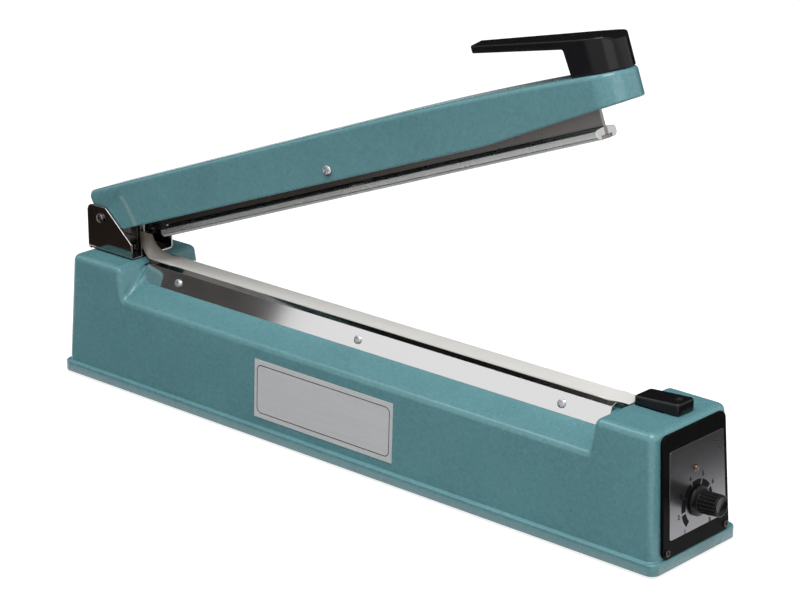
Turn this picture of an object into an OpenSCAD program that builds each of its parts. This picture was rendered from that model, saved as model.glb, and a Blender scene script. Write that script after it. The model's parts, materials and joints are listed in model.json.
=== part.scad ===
// Hand impulse bag sealer with a hinged press arm.
// Millimetres. +X points to the control panel, -X to the hinge, +Z is up.
// The origin is the middle of the base footprint, on the surface that the feet stand on.

/* [Base housing] */
// Length of the seal
seal_l = 400; // [360:5:440]
// Room at each end of the seal, up to the end blocks
seal_margin = 7; // [6:0.5:10]
// Length of the rear (hinge) block at the shoulder
rear_block_l = 61; // [58:0.5:75]
// Length of the front (control) block at the shoulder
front_block_l = 55; // [52:0.5:70]
// Width of the flange round the foot of the base
base_w = 86; // [84:0.5:96]
// Height of the flange
flange_h = 7.5; // [6:0.5:10]
// Corner radius of the flange in plan
flange_r = 6; // [5:0.5:9]
// Step from the flange edge in to the body walls
lip = 2.4; // [1.5:0.1:3]
// Height of the end blocks above the underside of the flange
block_h = 87.4; // [84:0.2:94]
// Height of the long walls in the well between the blocks
shoulder_h = 64; // [58:0.5:66]
// Lean of the long walls, degrees
side_draft = 2.2; // [1:0.1:3]
// Lean of the end walls, degrees
end_draft = 3.4; // [2:0.1:4]
// Distance that the rear block's face leans back between shoulder and top
well_lean = 6; // [4:0.5:8]
// Distance that the front block's face leans back between shoulder and top
front_lean = 3; // [1:0.5:5]
// Wall thickness of the housing
wall = 3; // [2.4:0.1:3.6]
// Radius of the upright corners
corner_r = 6; // [5:0.5:8]
// Radius of the edges round the block tops
edge_r = 4.5; // [3:0.5:5]

/* [Underside] */
// Height of the rubber feet below the flange
foot_h = 2; // [2:0.5:6]
// Diameter of a rubber foot
foot_d = 16; // [10:1:18]
// Distance of the feet from the ends of the base
foot_inset = 30; // [24:1:50]
// Thickness of the bottom plate
floor_t = 1.2; // [0.8:0.1:2]
// Margin of flange left round the bottom plate
floor_margin = 3; // [2.5:0.1:4]

/* [Jaw] */
// Width of the jaw bar
jaw_w = 15.6; // [14:0.1:16]
// Height of the jaw bar
jaw_t = 4.4; // [4:0.1:6]
// Thickness of the insulating strip
insulator_t = 0.3; // [0.2:0.05:0.4]
// Width of the insulating strip
insulator_w = 10; // [8:0.5:12]
// Thickness of the heating element
element_t = 0.25; // [0.2:0.05:0.3]
// Width of the heating element
element_w = 3; // [2:0.5:3]
// Thickness of the non-stick cloth
cloth_t = 0.25; // [0.2:0.05:0.4]
// Drop of the cloth beside the jaw bar
cloth_drop = 3; // [2:0.5:3.5]
// Height that the loose rear end of the cloth curls up
cloth_curl_h = 17; // [8:1:18]
// Length of the curled rear end
cloth_curl_l = 15; // [10:1:16]

/* [Clamp plates] */
// Thickness of the clamp plates
plate_t = 1; // [0.8:0.1:1.2]
// Distance from the centre line to the foot of a plate
plate_foot_y = 17.2; // [16:0.1:19]
// Distance from the centre line to the bend of a plate
plate_bend_y = 13; // [12.4:0.1:14]
// Height of the plate foot above the shoulder
plate_foot_rise = 9.2; // [8:0.1:10]
// Depth of the plate bend below the block tops
plate_bend_drop = 1.2; // [0.8:0.1:2]
// Diameter of the plate screw heads
plate_screw_head = 6; // [5:0.2:7]
// Spacing of the plate screws
plate_screw_pitch = 171; // [150:1:180]

/* [Hinge] */
// Height of the hinge pin above the block top
pin_up = 25.4; // [24:0.1:27]
// Distance of the pin behind the well
pin_back = 40.5; // [38:0.5:42]
// Diameter of the hinge pin
pin_d = 5; // [4:0.5:6]
// Running clearance on the radius of pins and shafts
run_gap = 0.05; // [0.02:0.01:0.08]
// Outer width of the hinge bracket
bracket_w = 40; // [38:0.5:44]
// Sheet thickness of the hinge bracket
bracket_t = 1.6; // [1.2:0.1:2]
// Bracket length behind the pin
ear_back = 14.5; // [12:0.5:15]
// Bracket length ahead of the pin
ear_front = 31; // [29:0.5:32]
// Height of the ears above the pin
ear_up = 8.2; // [7:0.1:9]
// Opening angle of the arm in the rest pose, degrees
open_angle = 20.4; // [14:0.1:24]

/* [Arm] */
// Outer width of the arm
arm_w = 38; // [36:0.5:42]
// Wall thickness of the arm
arm_t = 2.2; // [1.8:0.1:2.6]
// Top of the arm above the pin
arm_top = 20.5; // [18:0.5:24]
// Lower edge of the arm below the pin
arm_drop = 11.5; // [10:0.5:13]
// Fall of the top from its straight part to the nose
nose_fall = 6.3; // [4:0.1:8]
// Length over which the top falls
nose_fall_l = 203; // [150:1:220]
// Rise of the lower edge at the nose
nose_rise = 7.1; // [5:0.1:9]
// Length over which the lower edge rises
nose_rise_l = 126; // [90:1:150]
// Reach of the nose past the front end of the well
nose_over = 28.5; // [24:0.5:32]
// Corner radius of the nose in plan
nose_r = 17; // [12:0.5:18]
// Length of the arm behind the pin
tail_back = 6; // [5.5:0.5:9]
// Width of the tail between the hinge ears
tail_w = 33.6; // [32:0.2:34]

/* [Handle] */
// Length of the post on the nose
post_l = 31; // [26:0.5:36]
// Height of the grip's top over the arm top at the nose
grip_up = 20.5; // [18:0.5:26]
// Thickness of the grip
grip_t = 6; // [5:0.1:7]
// Length of the grip from the nose
grip_l = 112; // [90:1:120]
// Slope of the grip away from the arm, degrees
grip_slope = 8.1; // [5:0.1:11]
// Width of the handle at the post
handle_w = 35; // [30:0.5:36]
// Width of the grip at its free end
grip_end_w = 24; // [18:0.5:30]
// Skew of the grip's free end across its width
grip_skew = 11.5; // [0:0.5:12]

/* [Press bar] */
// Width of the press bar flange
bar_w = 19.3; // [18:0.1:22]
// Height of the flange at its edges
bar_edge_t = 5.4; // [4.5:0.1:6]
// Height of the flange at the web
bar_mid_t = 7.4; // [6.5:0.1:8]
// Thickness of the web
web_t = 2.2; // [1.8:0.1:3]
// Height of the web above the pivot axis
web_up = 6; // [5.5:0.5:7]
// Pivot axis below the hinge pin, arm closed
pivot_down = 4; // [3:0.5:6]
// Shift of the pivot from the middle of the bar toward the hinge
pivot_shift = 15; // [0:1:30]
// Diameter of the pivot screw
pivot_d = 5; // [4:0.5:6]
// Width of the silicone strip
strip_w = 10; // [8:0.5:14]
// Thickness of the silicone strip
strip_t = 2.3; // [1.8:0.1:3]
// Part of the strip that stands below the bar
strip_proud = 0.3; // [0.2:0.1:0.8]
// Room for the bag film between strip and cloth with the arm closed
close_gap = 0.5; // [0.45:0.05:1]

/* [Control panel] */
// Width of the bezel at its foot
bezel_w = 67.5; // [64:0.5:72]
// Narrowing of the bezel towards its top
bezel_taper = 4.5; // [0:0.5:6]
// Height of the bezel
bezel_h = 77.5; // [74:0.5:78]
// Thickness of the bezel
bezel_t = 2.4; // [2:0.1:3.5]
// Corner radius of the bezel
bezel_r = 5; // [3:0.5:7]
// Width of the dial plate at its foot
dial_w = 57.5; // [50:0.5:60]
// Narrowing of the dial plate towards its top
dial_taper = 3; // [0:0.5:4]
// Height of the dial plate
dial_h = 56; // [50:0.5:60]
// Thickness of the dial plate
dial_t = 0.6; // [0.4:0.1:1]
// Distance from the bezel middle down to the knob axis
knob_down = 10.5; // [6:0.5:12]
// Distance from the bezel middle up to the pilot lamp
lamp_up = 11; // [8:0.5:14]
// Shift of the dial and knob from the centre line
dial_y = 1.5; // [0:0.5:2]
// Shift of the pilot lamp from the centre line
lamp_y = 0; // [-1:0.5:2]
// Diameter of the knob barrel
knob_d = 14; // [12.4:0.2:17]
// Diameter of the knob skirt
skirt_d = 19.4; // [18:0.2:21]
// Length of the knob
knob_l = 17; // [14:0.5:20]
// Number of flutes round the knob
flutes = 18; // [12:1:24]
// Diameter of the potentiometer shaft
shaft_d = 6; // [5:0.5:6]
// Diameter of the pilot lamp
lamp_d = 4.4; // [3:0.2:5]

/* [Terminal cap] */
// Length of the terminal cap
cap_l = 34; // [30:0.5:36]
// Width of the terminal cap
cap_w = 17.6; // [16:0.2:20]
// Height of the terminal cap at its front end
cap_h = 8.4; // [8:0.2:10]
// Fall of the cap's top towards the jaw
cap_fall = 2.4; // [0:0.2:2.6]
// Shift of the cap from the centre line
cap_y = 5; // [3:0.5:6]
// Distance of the cap from the front end of the well
cap_in = 6.6; // [6.4:0.1:9]
// Wall of the terminal cap
cap_t = 1.6; // [1.2:0.1:2]

/* [Rating plate] */
// Length of the bare rating plate
label_l = 125; // [90:1:140]
// Height of the bare rating plate
label_h = 41; // [25:0.5:42]
// Thickness of the rating plate
label_t = 0.4; // [0.3:0.1:0.6]
// Place of the plate's middle along the base
label_x = -10; // [-40:1:40]
// Height of the plate's middle
label_mid = 34.2; // [30:0.2:36]

/* [Return gear] */
// Distance of the return rod ahead of the hinge pin
rod_ahead = 20; // [18:0.5:22]
// Diameter of the return rod
rod_d = 6; // [5:0.5:7]
// Strike face below the hinge pin
strike_down = 8; // [7:0.5:9]
// Gap between rod tip and strike plate
strike_gap = 0.3; // [0.3:0.05:0.5]
// Outer diameter of the return spring
spring_d = 12; // [11:0.5:14]
// Wire diameter of the return spring
wire_d = 1.4; // [1:0.1:1.8]
// Turns of the return spring
spring_turns = 7; // [5:1:9]
// Height of the switch bracket above the bottom plate
bridge_h = 38; // [34:1:42]
// Travel of the switch button
button_travel = 1; // [0.6:0.1:1.4]

/* [Hidden] */
$fn = 48;

// Small lengths for clean cuts, seams and sheets inside hulls
cut = 1;
seam = 0.05;
sheet = 0.5;
fit_gap = 0.05;
side_gap = 0.3;
hull_fn = 32;

// Base layout
well_l = seal_l + 2 * seal_margin;
base_l = well_l + rear_block_l + front_block_l;
well_rear_x = rear_block_l - base_l / 2;
well_front_x = base_l / 2 - front_block_l;
well_mid_x = (well_rear_x + well_front_x) / 2;
rear_top_x = well_rear_x - well_lean;
front_top_x = well_front_x + front_lean;
cavity_x = base_l / 2 - lip - (block_h - flange_h) * tan(end_draft) - wall - edge_r / 2;

// Distance of the long walls from the centre line at a height
function wall_y(h) = base_w / 2 - lip - (h - flange_h) * tan(side_draft);
// Distance of the end walls from the middle at a height
function wall_x(h) = base_l / 2 - lip - (h - flange_h) * tan(end_draft);

// Jaw stack, as heights above the flange underside
jaw_base_h = block_h - jaw_t;
insulator_top_h = block_h + insulator_t;
element_top_h = insulator_top_h + element_t;
cloth_low_h = element_top_h + fit_gap;
cloth_top_h = cloth_low_h + cloth_t;
cloth_side_gap = 0.2;
cloth_half = jaw_w / 2 + cloth_side_gap + cloth_t;
jaw_rear_over = 3;
jaw_rear_x = well_rear_x + seal_margin - jaw_rear_over;
jaw_front_x = well_front_x - seal_margin;

// Clamp plates
plate_foot_h = shoulder_h + plate_foot_rise;
plate_bend_h = block_h - plate_bend_drop;
plate_lip_gap = 0.4;
plate_lip_y = cloth_half + plate_lip_gap;
plate_lip_h = cloth_top_h - plate_lip_gap;
plate_lean = atan((plate_foot_y - plate_bend_y) / (plate_bend_h - plate_foot_h));
plate_lip_angle = atan((plate_lip_h - plate_bend_h) / (plate_bend_y - plate_lip_y));
plate_wide = plate_t / cos(plate_lean);
plate_rear_x = jaw_rear_x - 4;
plate_front_x = jaw_front_x + 5;
jaw_l = jaw_front_x - jaw_rear_x;
plate_screw_low = 0.5;
plate_screw_h = (plate_foot_h + plate_bend_h) / 2 - plate_screw_low;
ridge_h = jaw_base_h;
ridge_step = 0.4;
slope_extra = 1;
// Distance of the ridge side from the centre line, behind a clamp plate
function ridge_y(h) =
  plate_foot_y - (h - plate_foot_h) * tan(plate_lean) - plate_wide;
plate_screw_d = 3;
plate_screw_l = 6;
plate_screw_head_t = 1.6;
plate_screw_shift = 3;
plate_screw_xs = [for (i = [-1:1]) well_mid_x - plate_screw_shift + i * plate_screw_pitch];

// Hinge and arm, in the arm's own frame: u along the arm, w up, zero at the pin
pin_x = well_rear_x - pin_back;
pin_z = foot_h + block_h + pin_up;
arm_l = well_front_x + nose_over - pin_x;
nose_bottom = nose_rise - arm_drop;
nose_top = arm_top - nose_fall;
// Height of the arm top along the arm
function top_at(u) =
  arm_top - nose_fall * pow(max(0, u - arm_l + nose_fall_l) / nose_fall_l, 2);
top_steps = 12;
tail_run = 5;
tail_l = ear_front + tail_run;
nose_slope = 2 * nose_fall / nose_fall_l;
ear_flat = 4.9;
ear_foot_up = 12.4;
ear_r = 5;
ear_chamfer = 1;
bracket_bend_r = 1.4;
bracket_rear_h = 18;
bush_wall = 1.5;
bush_d = pin_d + 2 * bush_wall;
bush_flange_d = 12;
bush_flange_t = (bracket_w - 2 * bracket_t - tail_w) / 2 - side_gap;
pin_head_over = 0.8;
pin_head_d = pin_d + 2 * pin_head_over;
pin_head_t = 2.2;
pin_thread = 6;
pin_nut_af = 8;
pin_nut_t = 4;

// Press bar
strip_low = -(pin_up - (cloth_top_h - block_h) - close_gap);
bar_low = strip_low + strip_proud;
bar_rear_in = 6.5;
bar_front_in = 0.5;
bar_start = pin_back + bar_rear_in;
bar_end = well_front_x - bar_front_in - pin_x;
bar_l = bar_end - bar_start;
pivot_u = (bar_start + bar_end) / 2 - pivot_shift;
pivot_w = -pivot_down;
bar_chamfer = 1;
bar_under = 1.8;
web_rear = 6;
strip_in = 1;
pivot_head_d = 8;
pivot_head_t = 2;
pivot_thread = 5;
pivot_nut_af = 8;
pivot_nut_t = 4;
spacer_wall = 2;

// Handle
post_back = arm_l - post_l;
grip_top_nose = nose_top + grip_up;
// Height of the grip's top along the arm
function grip_top(u) = grip_top_nose + (arm_l - u) * tan(grip_slope);
grip_free = arm_l - grip_l;
handle_screw_us = [for (back = [21, 10]) arm_l - back];
handle_screw_d = 4;
handle_screw_head = 7;
handle_screw_l = 14;
handle_screw_head_t = 2.2;
handle_edge = 3;
handle_corner = 2;
grip_thin = 1;
handle_in = 0.4;
handle_r = nose_r - 1.5;
foot_steps = 5;
// Height of the arm's ceiling where a level screw head seats under it
function seat_at(u) = top_at(u) - arm_t - handle_screw_head / 2 * nose_slope - fit_gap;

// Control panel, in the panel's own frame: x down, y to the right, z out of the end wall
bezel_gap = 0.1;
bezel_mid = flange_h + side_gap + bezel_h / 2;
dial_recess = 0.4;
dial_r = 2;
window_side = 8;
window_end = 11;
window_w = bezel_w - 2 * window_side;
window_h = bezel_h - 2 * window_end;
window_deep = base_l / 2 - cavity_x;
bezel_screw_d = 3;
bezel_screw_grip = 5;
bezel_screw_head = 4.4;
bezel_screw_head_t = 1.2;
bezel_screw_in = 4;
bezel_screw_y = bezel_w / 2 - bezel_screw_in;
bezel_screw_x = bezel_h / 2 - bezel_screw_in;
pot_d = 16;
pot_bush_d = 7;
pot_l = 9;
knob_gap = 0.6;
dial_face = bezel_gap + bezel_t - dial_recess + dial_t;
pot_nut_t = 2;
pot_nut_af = 10;
pot_bush_past = 0.6;
lamp_deep = 4;
lamp_rim = 0.6;
lamp_dome = 1.2;

// Terminal cap
cap_x = well_front_x + cap_in;
cap_screw_d = 3;
cap_screw_head = 4.6;
cap_screw_in = 6;
cap_sink = 2;
cap_screw_x = cap_x + cap_l - cap_screw_in;
cap_low = cap_h - cap_fall;
cap_seat = cap_h - cap_fall * cap_screw_in / cap_l - cap_sink;
cap_screw_head_t = 1.4;
cap_screw_past = 3;
cap_r = 3;
cap_solid = 9;
cap_slot_gap = 0.2;
tail_strip_w = 4;
terminal_in = 5;
terminal_x = cap_x + cap_t + terminal_in;
terminal_l = 14;
terminal_t = 3;
terminal_side = 4;
rear_terminal_l = 5;

// Return rod: its domed tip follows the strike plate from the open to the closed arm
rod_x = pin_x + rod_ahead;
rod_r = rod_d / 2;
strike_l = 18;
strike_t = 1.6;
strike_h = 9;
rod_tip_open = rod_ahead * tan(open_angle) - (strike_down + rod_r + strike_gap) / cos(open_angle);
rod_tip_closed = -(strike_down + rod_r + strike_gap);
rod_travel = rod_tip_open - rod_tip_closed;
rod_tip_z = pin_z + rod_tip_open;
rod_bush_wall = 2;
rod_bush_rim = 2;
rod_clear = 1;
rod_below = 3;
rod_bush_d = rod_d + 2 * rod_bush_wall;
collar_over = 0.5;
collar_d = spring_d + 2 * collar_over;
collar_t = 4;
collar_top_z = foot_h + block_h - wall - rod_bush_rim - side_gap;
floor_top_z = foot_h + floor_t;
bridge_top_z = floor_top_z + bridge_h;
bridge_t = 2;
bridge_w = 44;
bridge_len = 24;
rod_end_z = bridge_top_z - bridge_t - rod_below;
button_top_z = rod_end_z - rod_travel - side_gap + button_travel;
button_d = 4;
button_up = 2.5;
button_in = 4.4;
button_hole = 6;
switch_top_z = button_top_z - button_up;
switch_l = 20;
switch_w = 10;
switch_hole_d = 3;
switch_hole_x = 7;
switch_hole_up = 5;
spring_top_z = collar_top_z - collar_t;

echo(joints = [pin_x, pin_z, open_angle], rod_travel = rod_travel, base_l = base_l, arm_l = arm_l);
echo(pivot = [pivot_u, pivot_w], rod = [rod_x, rod_tip_z], bar = [bar_start, bar_end, bar_low]);

// Frames
module on_base() {
  translate([0, 0, foot_h]) children();
}

module arm_frame() {
  translate([pin_x, 0, pin_z]) rotate([0, -open_angle, 0]) children();
}

module panel_frame() {
  translate([wall_x(bezel_mid), 0, foot_h + bezel_mid]) rotate([0, 90 - end_draft, 0]) children();
}

// A flat outline in (x, z) made into a slab across the width
module across(w) {
  rotate([90, 0, 0]) linear_extrude(w, center = true) children();
}

// A flat outline in (y, z) made into a bar along the length, from x0 to x1
module along(x0, x1) {
  translate([x0, 0, 0]) rotate([90, 0, 90]) linear_extrude(x1 - x0) children();
}

module rounded_rect(a, b, r) {
  square([a - 2 * r, b], center = true);
  square([a, b - 2 * r], center = true);
  for (sx = [-1, 1], sy = [-1, 1]) translate([sx * (a / 2 - r), sy * (b / 2 - r)]) circle(r);
}

// An upright outline along x with rounded corners, low_w wide at +x and high_w wide at -x
module tapered_rect(h, low_w, high_w, r) {
  slope = (low_w - high_w) / (2 * h);
  lean = atan(slope);
  ends = [for (s = [1, -1]) let (x = s * (h / 2 - r))
    [x, (low_w + high_w) / 4 + slope * x - r / cos(lean)]];
  side = [[h / 2, ends[0][1]], for (c = ends) c + r * [-sin(lean), cos(lean)], [-h / 2, ends[1][1]]];
  polygon(concat(side, [for (i = [len(side) - 1:-1:0]) [side[i][0], -side[i][1]]]));
  for (c = ends, s = [-1, 1]) translate([c[0], s * c[1]]) circle(r);
}

// A pan-head screw: head above z = 0, shank below, crossed recess in the head
module pan_screw(d, head_d, head_t, l) {
  recess = head_d * 0.55;
  slot = head_d * 0.16;
  difference() {
    union() {
      translate([0, 0, -l]) cylinder(d = d, h = l);
      cylinder(d = head_d, h = head_t);
    }
    for (a = [0, 90]) rotate([0, 0, a])
      translate([-recess / 2, -slot / 2, head_t * 0.5]) cube([recess, slot, head_t]);
  }
}

module hex_nut(d, across_flats, t) {
  difference() {
    cylinder(d = across_flats / cos(30), h = t, $fn = 6);
    translate([0, 0, -cut]) cylinder(d = d, h = t + 2 * cut);
  }
}

// Base housing
module housing_walls() {
  hull() for (sx = [-1, 1], sy = [-1, 1], h = [flange_h - cut, shoulder_h])
    translate([sx * (wall_x(h) - corner_r), sy * (wall_y(h) - corner_r), h - sheet])
      cylinder(r = corner_r, h = sheet, $fn = hull_fn);
}

// One end block: sx is the end, foot and top are its inner edges
module end_block(sx, foot, top) {
  low = shoulder_h - cut;
  hull() for (sy = [-1, 1]) {
    translate([sx * (wall_x(low) - corner_r - seam), sy * (wall_y(low) - corner_r - seam), low])
      cylinder(r = corner_r, h = sheet, $fn = hull_fn);
    translate([sx * (foot + edge_r), sy * (wall_y(low) - edge_r - seam), low])
      cylinder(r = edge_r, h = sheet, $fn = hull_fn);
    translate([sx * (wall_x(block_h) - edge_r), sy * (wall_y(block_h) - edge_r), block_h - edge_r])
      sphere(r = edge_r, $fn = hull_fn);
    translate([sx * (top + edge_r), sy * (wall_y(block_h) - edge_r), block_h - edge_r])
      sphere(r = edge_r, $fn = hull_fn);
  }
}

module ridge_outline() {
  edge = wall_y(shoulder_h) - 2 * seam;
  half = [
    [edge, shoulder_h - cut], [edge, shoulder_h], [plate_foot_y + ridge_step, plate_foot_h],
    [ridge_y(plate_foot_h), plate_foot_h], [ridge_y(ridge_h), ridge_h]
  ];
  polygon(concat(half, [for (i = [len(half) - 1:-1:0]) [-half[i][0], half[i][1]]]));
}

module cavity_outline() {
  inner = wall_y(shoulder_h) - wall;
  ridge_in = ridge_y(ridge_h) - wall;
  half = [
    [inner, -cut], [inner, shoulder_h - wall],
    [ridge_y(plate_foot_h) - wall, plate_foot_h - wall - slope_extra], [ridge_in, ridge_h - wall]
  ];
  polygon(concat(half, [for (i = [len(half) - 1:-1:0]) [-half[i][0], half[i][1]]]));
}

module block_cavity(x0, x1) {
  inner = wall_y(block_h) - wall;
  translate([x0, -inner, -cut]) cube([x1 - x0, 2 * inner, block_h - wall + cut]);
}

// Places a child on the outer face of a clamp plate, z out of the face
module on_plate(x, side) {
  y = plate_foot_y - (plate_screw_h - plate_foot_h) * tan(plate_lean);
  translate([x, side * y, plate_screw_h]) rotate([side * (plate_lean - 90), 0, 0]) children();
}

floor_screw_side = 2.8;
floor_screw_in = 40;
floor_screw_y = base_w / 2 - floor_margin - floor_screw_side;
floor_screw_x = base_l / 2 - floor_screw_in;
floor_screw_d = 2.6;
floor_screw_head = 5;
floor_screw_head_t = 1.4;
floor_screw_l = flange_h - 1.5;
bracket_screw_d = 4;
bracket_screw_past = 4;
bracket_screw_grip = wall + bracket_screw_past;
bracket_screw_head = 7.4;
bracket_screw_head_t = 2.4;
bracket_screw_in = 6;
bracket_screw_ahead = 9;
bracket_screw_xs = [pin_x - ear_back + bracket_screw_in, pin_x + bracket_screw_ahead];
grommet_h = 22;
grommet_d = 12;
grommet_rim = 2.5;
grommet_rim_t = 2.4;
grommet_in = 2;
grommet_out = 5;

module base_housing() color("#4f868c") on_base() difference() {
  union() {
    linear_extrude(flange_h) rounded_rect(base_l, base_w, flange_r);
    housing_walls();
    end_block(-1, -well_rear_x, -rear_top_x);
    end_block(1, well_front_x, front_top_x);
    along(well_rear_x - 2 * edge_r, well_front_x + 2 * edge_r) ridge_outline();
  }
  along(-cavity_x, cavity_x) cavity_outline();
  block_cavity(-cavity_x, rear_top_x - wall);
  block_cavity(front_top_x + wall, cavity_x);
  translate([0, 0, -cut]) linear_extrude(floor_t + cut)
    rounded_rect(base_l - 2 * floor_margin, base_w - 2 * floor_margin, flange_r - floor_margin);
  for (sx = [-1, 1], sy = [-1, 1]) translate([sx * floor_screw_x, sy * floor_screw_y, 0])
    cylinder(d = floor_screw_d, h = floor_screw_l);
  for (x = plate_screw_xs, side = [-1, 1]) on_plate(x, side)
    translate([0, 0, -plate_screw_l]) cylinder(d = plate_screw_d, h = plate_screw_l);
  for (x = bracket_screw_xs) translate([x, 0, block_h - bracket_screw_grip])
    cylinder(d = bracket_screw_d, h = bracket_screw_grip + cut);
  translate([rod_x, 0, block_h - wall - cut]) cylinder(d = rod_bush_d, h = wall + 2 * cut);
  translate([cap_screw_x, cap_y, block_h - wall - cut]) cylinder(d = cap_screw_d, h = wall + 2 * cut);
  translate([-base_l / 2, 0, grommet_h]) rotate([0, 90, 0])
    cylinder(d = grommet_d, h = base_l / 2 - cavity_x + cut);
  translate([0, 0, -foot_h]) panel_frame() {
    translate([0, 0, -window_deep]) linear_extrude(window_deep + edge_r)
      square([window_h, window_w], center = true);
    for (s = [-1, 1]) translate([bezel_screw_x, s * bezel_screw_y, -bezel_screw_grip])
      cylinder(d = bezel_screw_d, h = bezel_screw_grip + cut);
  }
}

// Underside
label_r = 0.4;
foot_edge = 0.8;
foot_x = base_l / 2 - foot_inset;
foot_side = 4;
foot_y = base_w / 2 - floor_margin - foot_d / 2 - foot_side;

module bottom_plate() color("#8f9496") on_base() difference() {
  margin = floor_margin + fit_gap;
  linear_extrude(floor_t) rounded_rect(base_l - 2 * margin, base_w - 2 * margin, flange_r - floor_margin);
  for (sx = [-1, 1], sy = [-1, 1]) translate([sx * floor_screw_x, sy * floor_screw_y, -cut])
    cylinder(d = floor_screw_d, h = floor_t + 2 * cut);
}

module rubber_feet() color("#1c1c1c")
  for (sx = [-1, 1], sy = [-1, 1]) translate([sx * foot_x, sy * foot_y, 0])
    rotate_extrude() polygon([
      [0, 0], [foot_d / 2 - foot_edge, 0], [foot_d / 2, foot_edge], [foot_d / 2, foot_h], [0, foot_h]
    ]);

module bottom_screws() color("#b8bcc0")
  for (sx = [-1, 1], sy = [-1, 1]) translate([sx * floor_screw_x, sy * floor_screw_y, foot_h])
    rotate([180, 0, 0]) pan_screw(floor_screw_d, floor_screw_head, floor_screw_head_t, floor_screw_l);

module cable_grommet() color("#1c1c1c")
  translate([-wall_x(grommet_h), 0, foot_h + grommet_h]) rotate([0, -90, 0]) difference() {
    union() {
      rotate([0, end_draft, 0]) cylinder(d = grommet_d + 2 * grommet_rim, h = grommet_rim_t);
      translate([0, 0, -wall - grommet_in]) cylinder(d = grommet_d, h = wall + grommet_in + cut);
    }
    translate([0, 0, -wall - grommet_in - cut])
      cylinder(d = grommet_d - 2 * grommet_rim, h = wall + grommet_in + cut + grommet_out);
  }

// Control panel
module dial_outline(gap) {
  tapered_rect(dial_h + 2 * gap, dial_w + 2 * gap, dial_w - dial_taper + 2 * gap, dial_r);
}

module control_bezel() color("#161718") panel_frame() difference() {
  translate([0, 0, bezel_gap]) linear_extrude(bezel_t)
    tapered_rect(bezel_h, bezel_w, bezel_w - bezel_taper, bezel_r);
  translate([0, 0, bezel_gap + bezel_t - dial_recess]) linear_extrude(dial_t + cut)
    translate([0, dial_y]) dial_outline(fit_gap);
  translate([knob_down, dial_y, -cut]) cylinder(d = pot_bush_d, h = bezel_t + 2 * cut);
  translate([-lamp_up, lamp_y, -cut]) cylinder(d = lamp_d, h = bezel_t + 2 * cut);
  for (s = [-1, 1]) translate([bezel_screw_x, s * bezel_screw_y, -cut])
    cylinder(d = bezel_screw_d, h = bezel_t + 2 * cut);
}

module dial_plate() color("#b9bcc0") panel_frame() translate([0, dial_y, 0]) difference() {
  translate([0, 0, dial_face - dial_t]) linear_extrude(dial_t) dial_outline(0);
  translate([knob_down, 0, 0]) cylinder(d = pot_bush_d, h = dial_face + cut);
  translate([-lamp_up, lamp_y - dial_y, 0]) cylinder(d = lamp_d, h = dial_face + cut);
}

module bezel_screws() color("#3a3a3c") panel_frame()
  for (s = [-1, 1]) translate([bezel_screw_x, s * bezel_screw_y, bezel_gap + bezel_t])
    pan_screw(bezel_screw_d, bezel_screw_head, bezel_screw_head_t, bezel_gap + bezel_t + bezel_screw_grip);

module pilot_lamp() color("#b3221a") panel_frame() translate([-lamp_up, lamp_y, 0]) rotate_extrude()
  polygon(concat(
    [[0, -lamp_deep], [lamp_d / 2, -lamp_deep], [lamp_d / 2, dial_face + lamp_rim]],
    [for (a = [20:20:80]) [lamp_d / 2 * cos(a), dial_face + lamp_rim + lamp_dome * sin(a)]],
    [[0, dial_face + lamp_rim + lamp_dome]]));

module potentiometer() color("#8a8d8a") panel_frame() translate([knob_down, dial_y, 0]) difference() {
  union() {
    translate([0, 0, -pot_l]) cylinder(d = pot_d, h = pot_l);
    cylinder(d = pot_bush_d, h = dial_face + pot_nut_t + pot_bush_past);
  }
  translate([0, 0, pot_floor - pot_l])
    cylinder(d = shaft_d + 2 * run_gap, h = pot_l + dial_face + pot_nut_t);
}

module potentiometer_nut() color("#c3c5c7") panel_frame() translate([knob_down, dial_y, dial_face])
  hex_nut(pot_bush_d, pot_nut_af, pot_nut_t);

knob_base = dial_face + knob_gap;
knob_hollow_past = 1.2;
knob_hollow = pot_nut_t + knob_hollow_past;
knob_taper = 0.8;
flute_up = 1;
knob_hollow_d = 12.2;
knob_cap = 3;
skirt_t = 3.4;
flute_d = 1.6;
flute_out = 0.5;
pot_floor = 2;
shaft_foot = pot_floor + side_gap - pot_l;

module timer_knob() color("#131313") panel_frame() translate([knob_down, dial_y, knob_base]) difference() {
  union() {
    cylinder(d = skirt_d, h = skirt_t);
    translate([0, 0, skirt_t]) cylinder(d1 = knob_d + knob_taper, d2 = knob_d, h = knob_l - skirt_t);
  }
  translate([0, 0, -cut]) cylinder(d = knob_hollow_d, h = knob_hollow + cut);
  translate([0, 0, -cut]) cylinder(d = shaft_d, h = knob_l - knob_cap + cut);
  for (i = [0:flutes - 1]) rotate([0, 0, i * 360 / flutes])
    translate([knob_d / 2 + flute_out, 0, skirt_t + flute_up]) cylinder(d = flute_d, h = knob_l);
}

module potentiometer_shaft() color("#c3c5c7") panel_frame()
  translate([knob_down, dial_y, shaft_foot])
    cylinder(d = shaft_d, h = knob_base + knob_l - knob_cap - shaft_foot);

// Electrics on the bottom plate
coil_x = 40;
core = [62, 24, 52];
coil_w = 52;
leg = 11;
core_gap = core[0] / 2 - 1.5 * leg;
core_gap_h = core[2] - 2 * leg;
coil_room = 1;

module transformer_core() color("#5b5f63") translate([coil_x, 0, floor_top_z]) difference() {
  translate([-core[0] / 2, -core[1] / 2, 0]) cube(core);
  for (s = [-1, 1]) translate([s * (leg + core_gap) / 2 - core_gap / 2, -core[1], leg])
    cube([core_gap, 2 * core[1], core_gap_h]);
}

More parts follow.
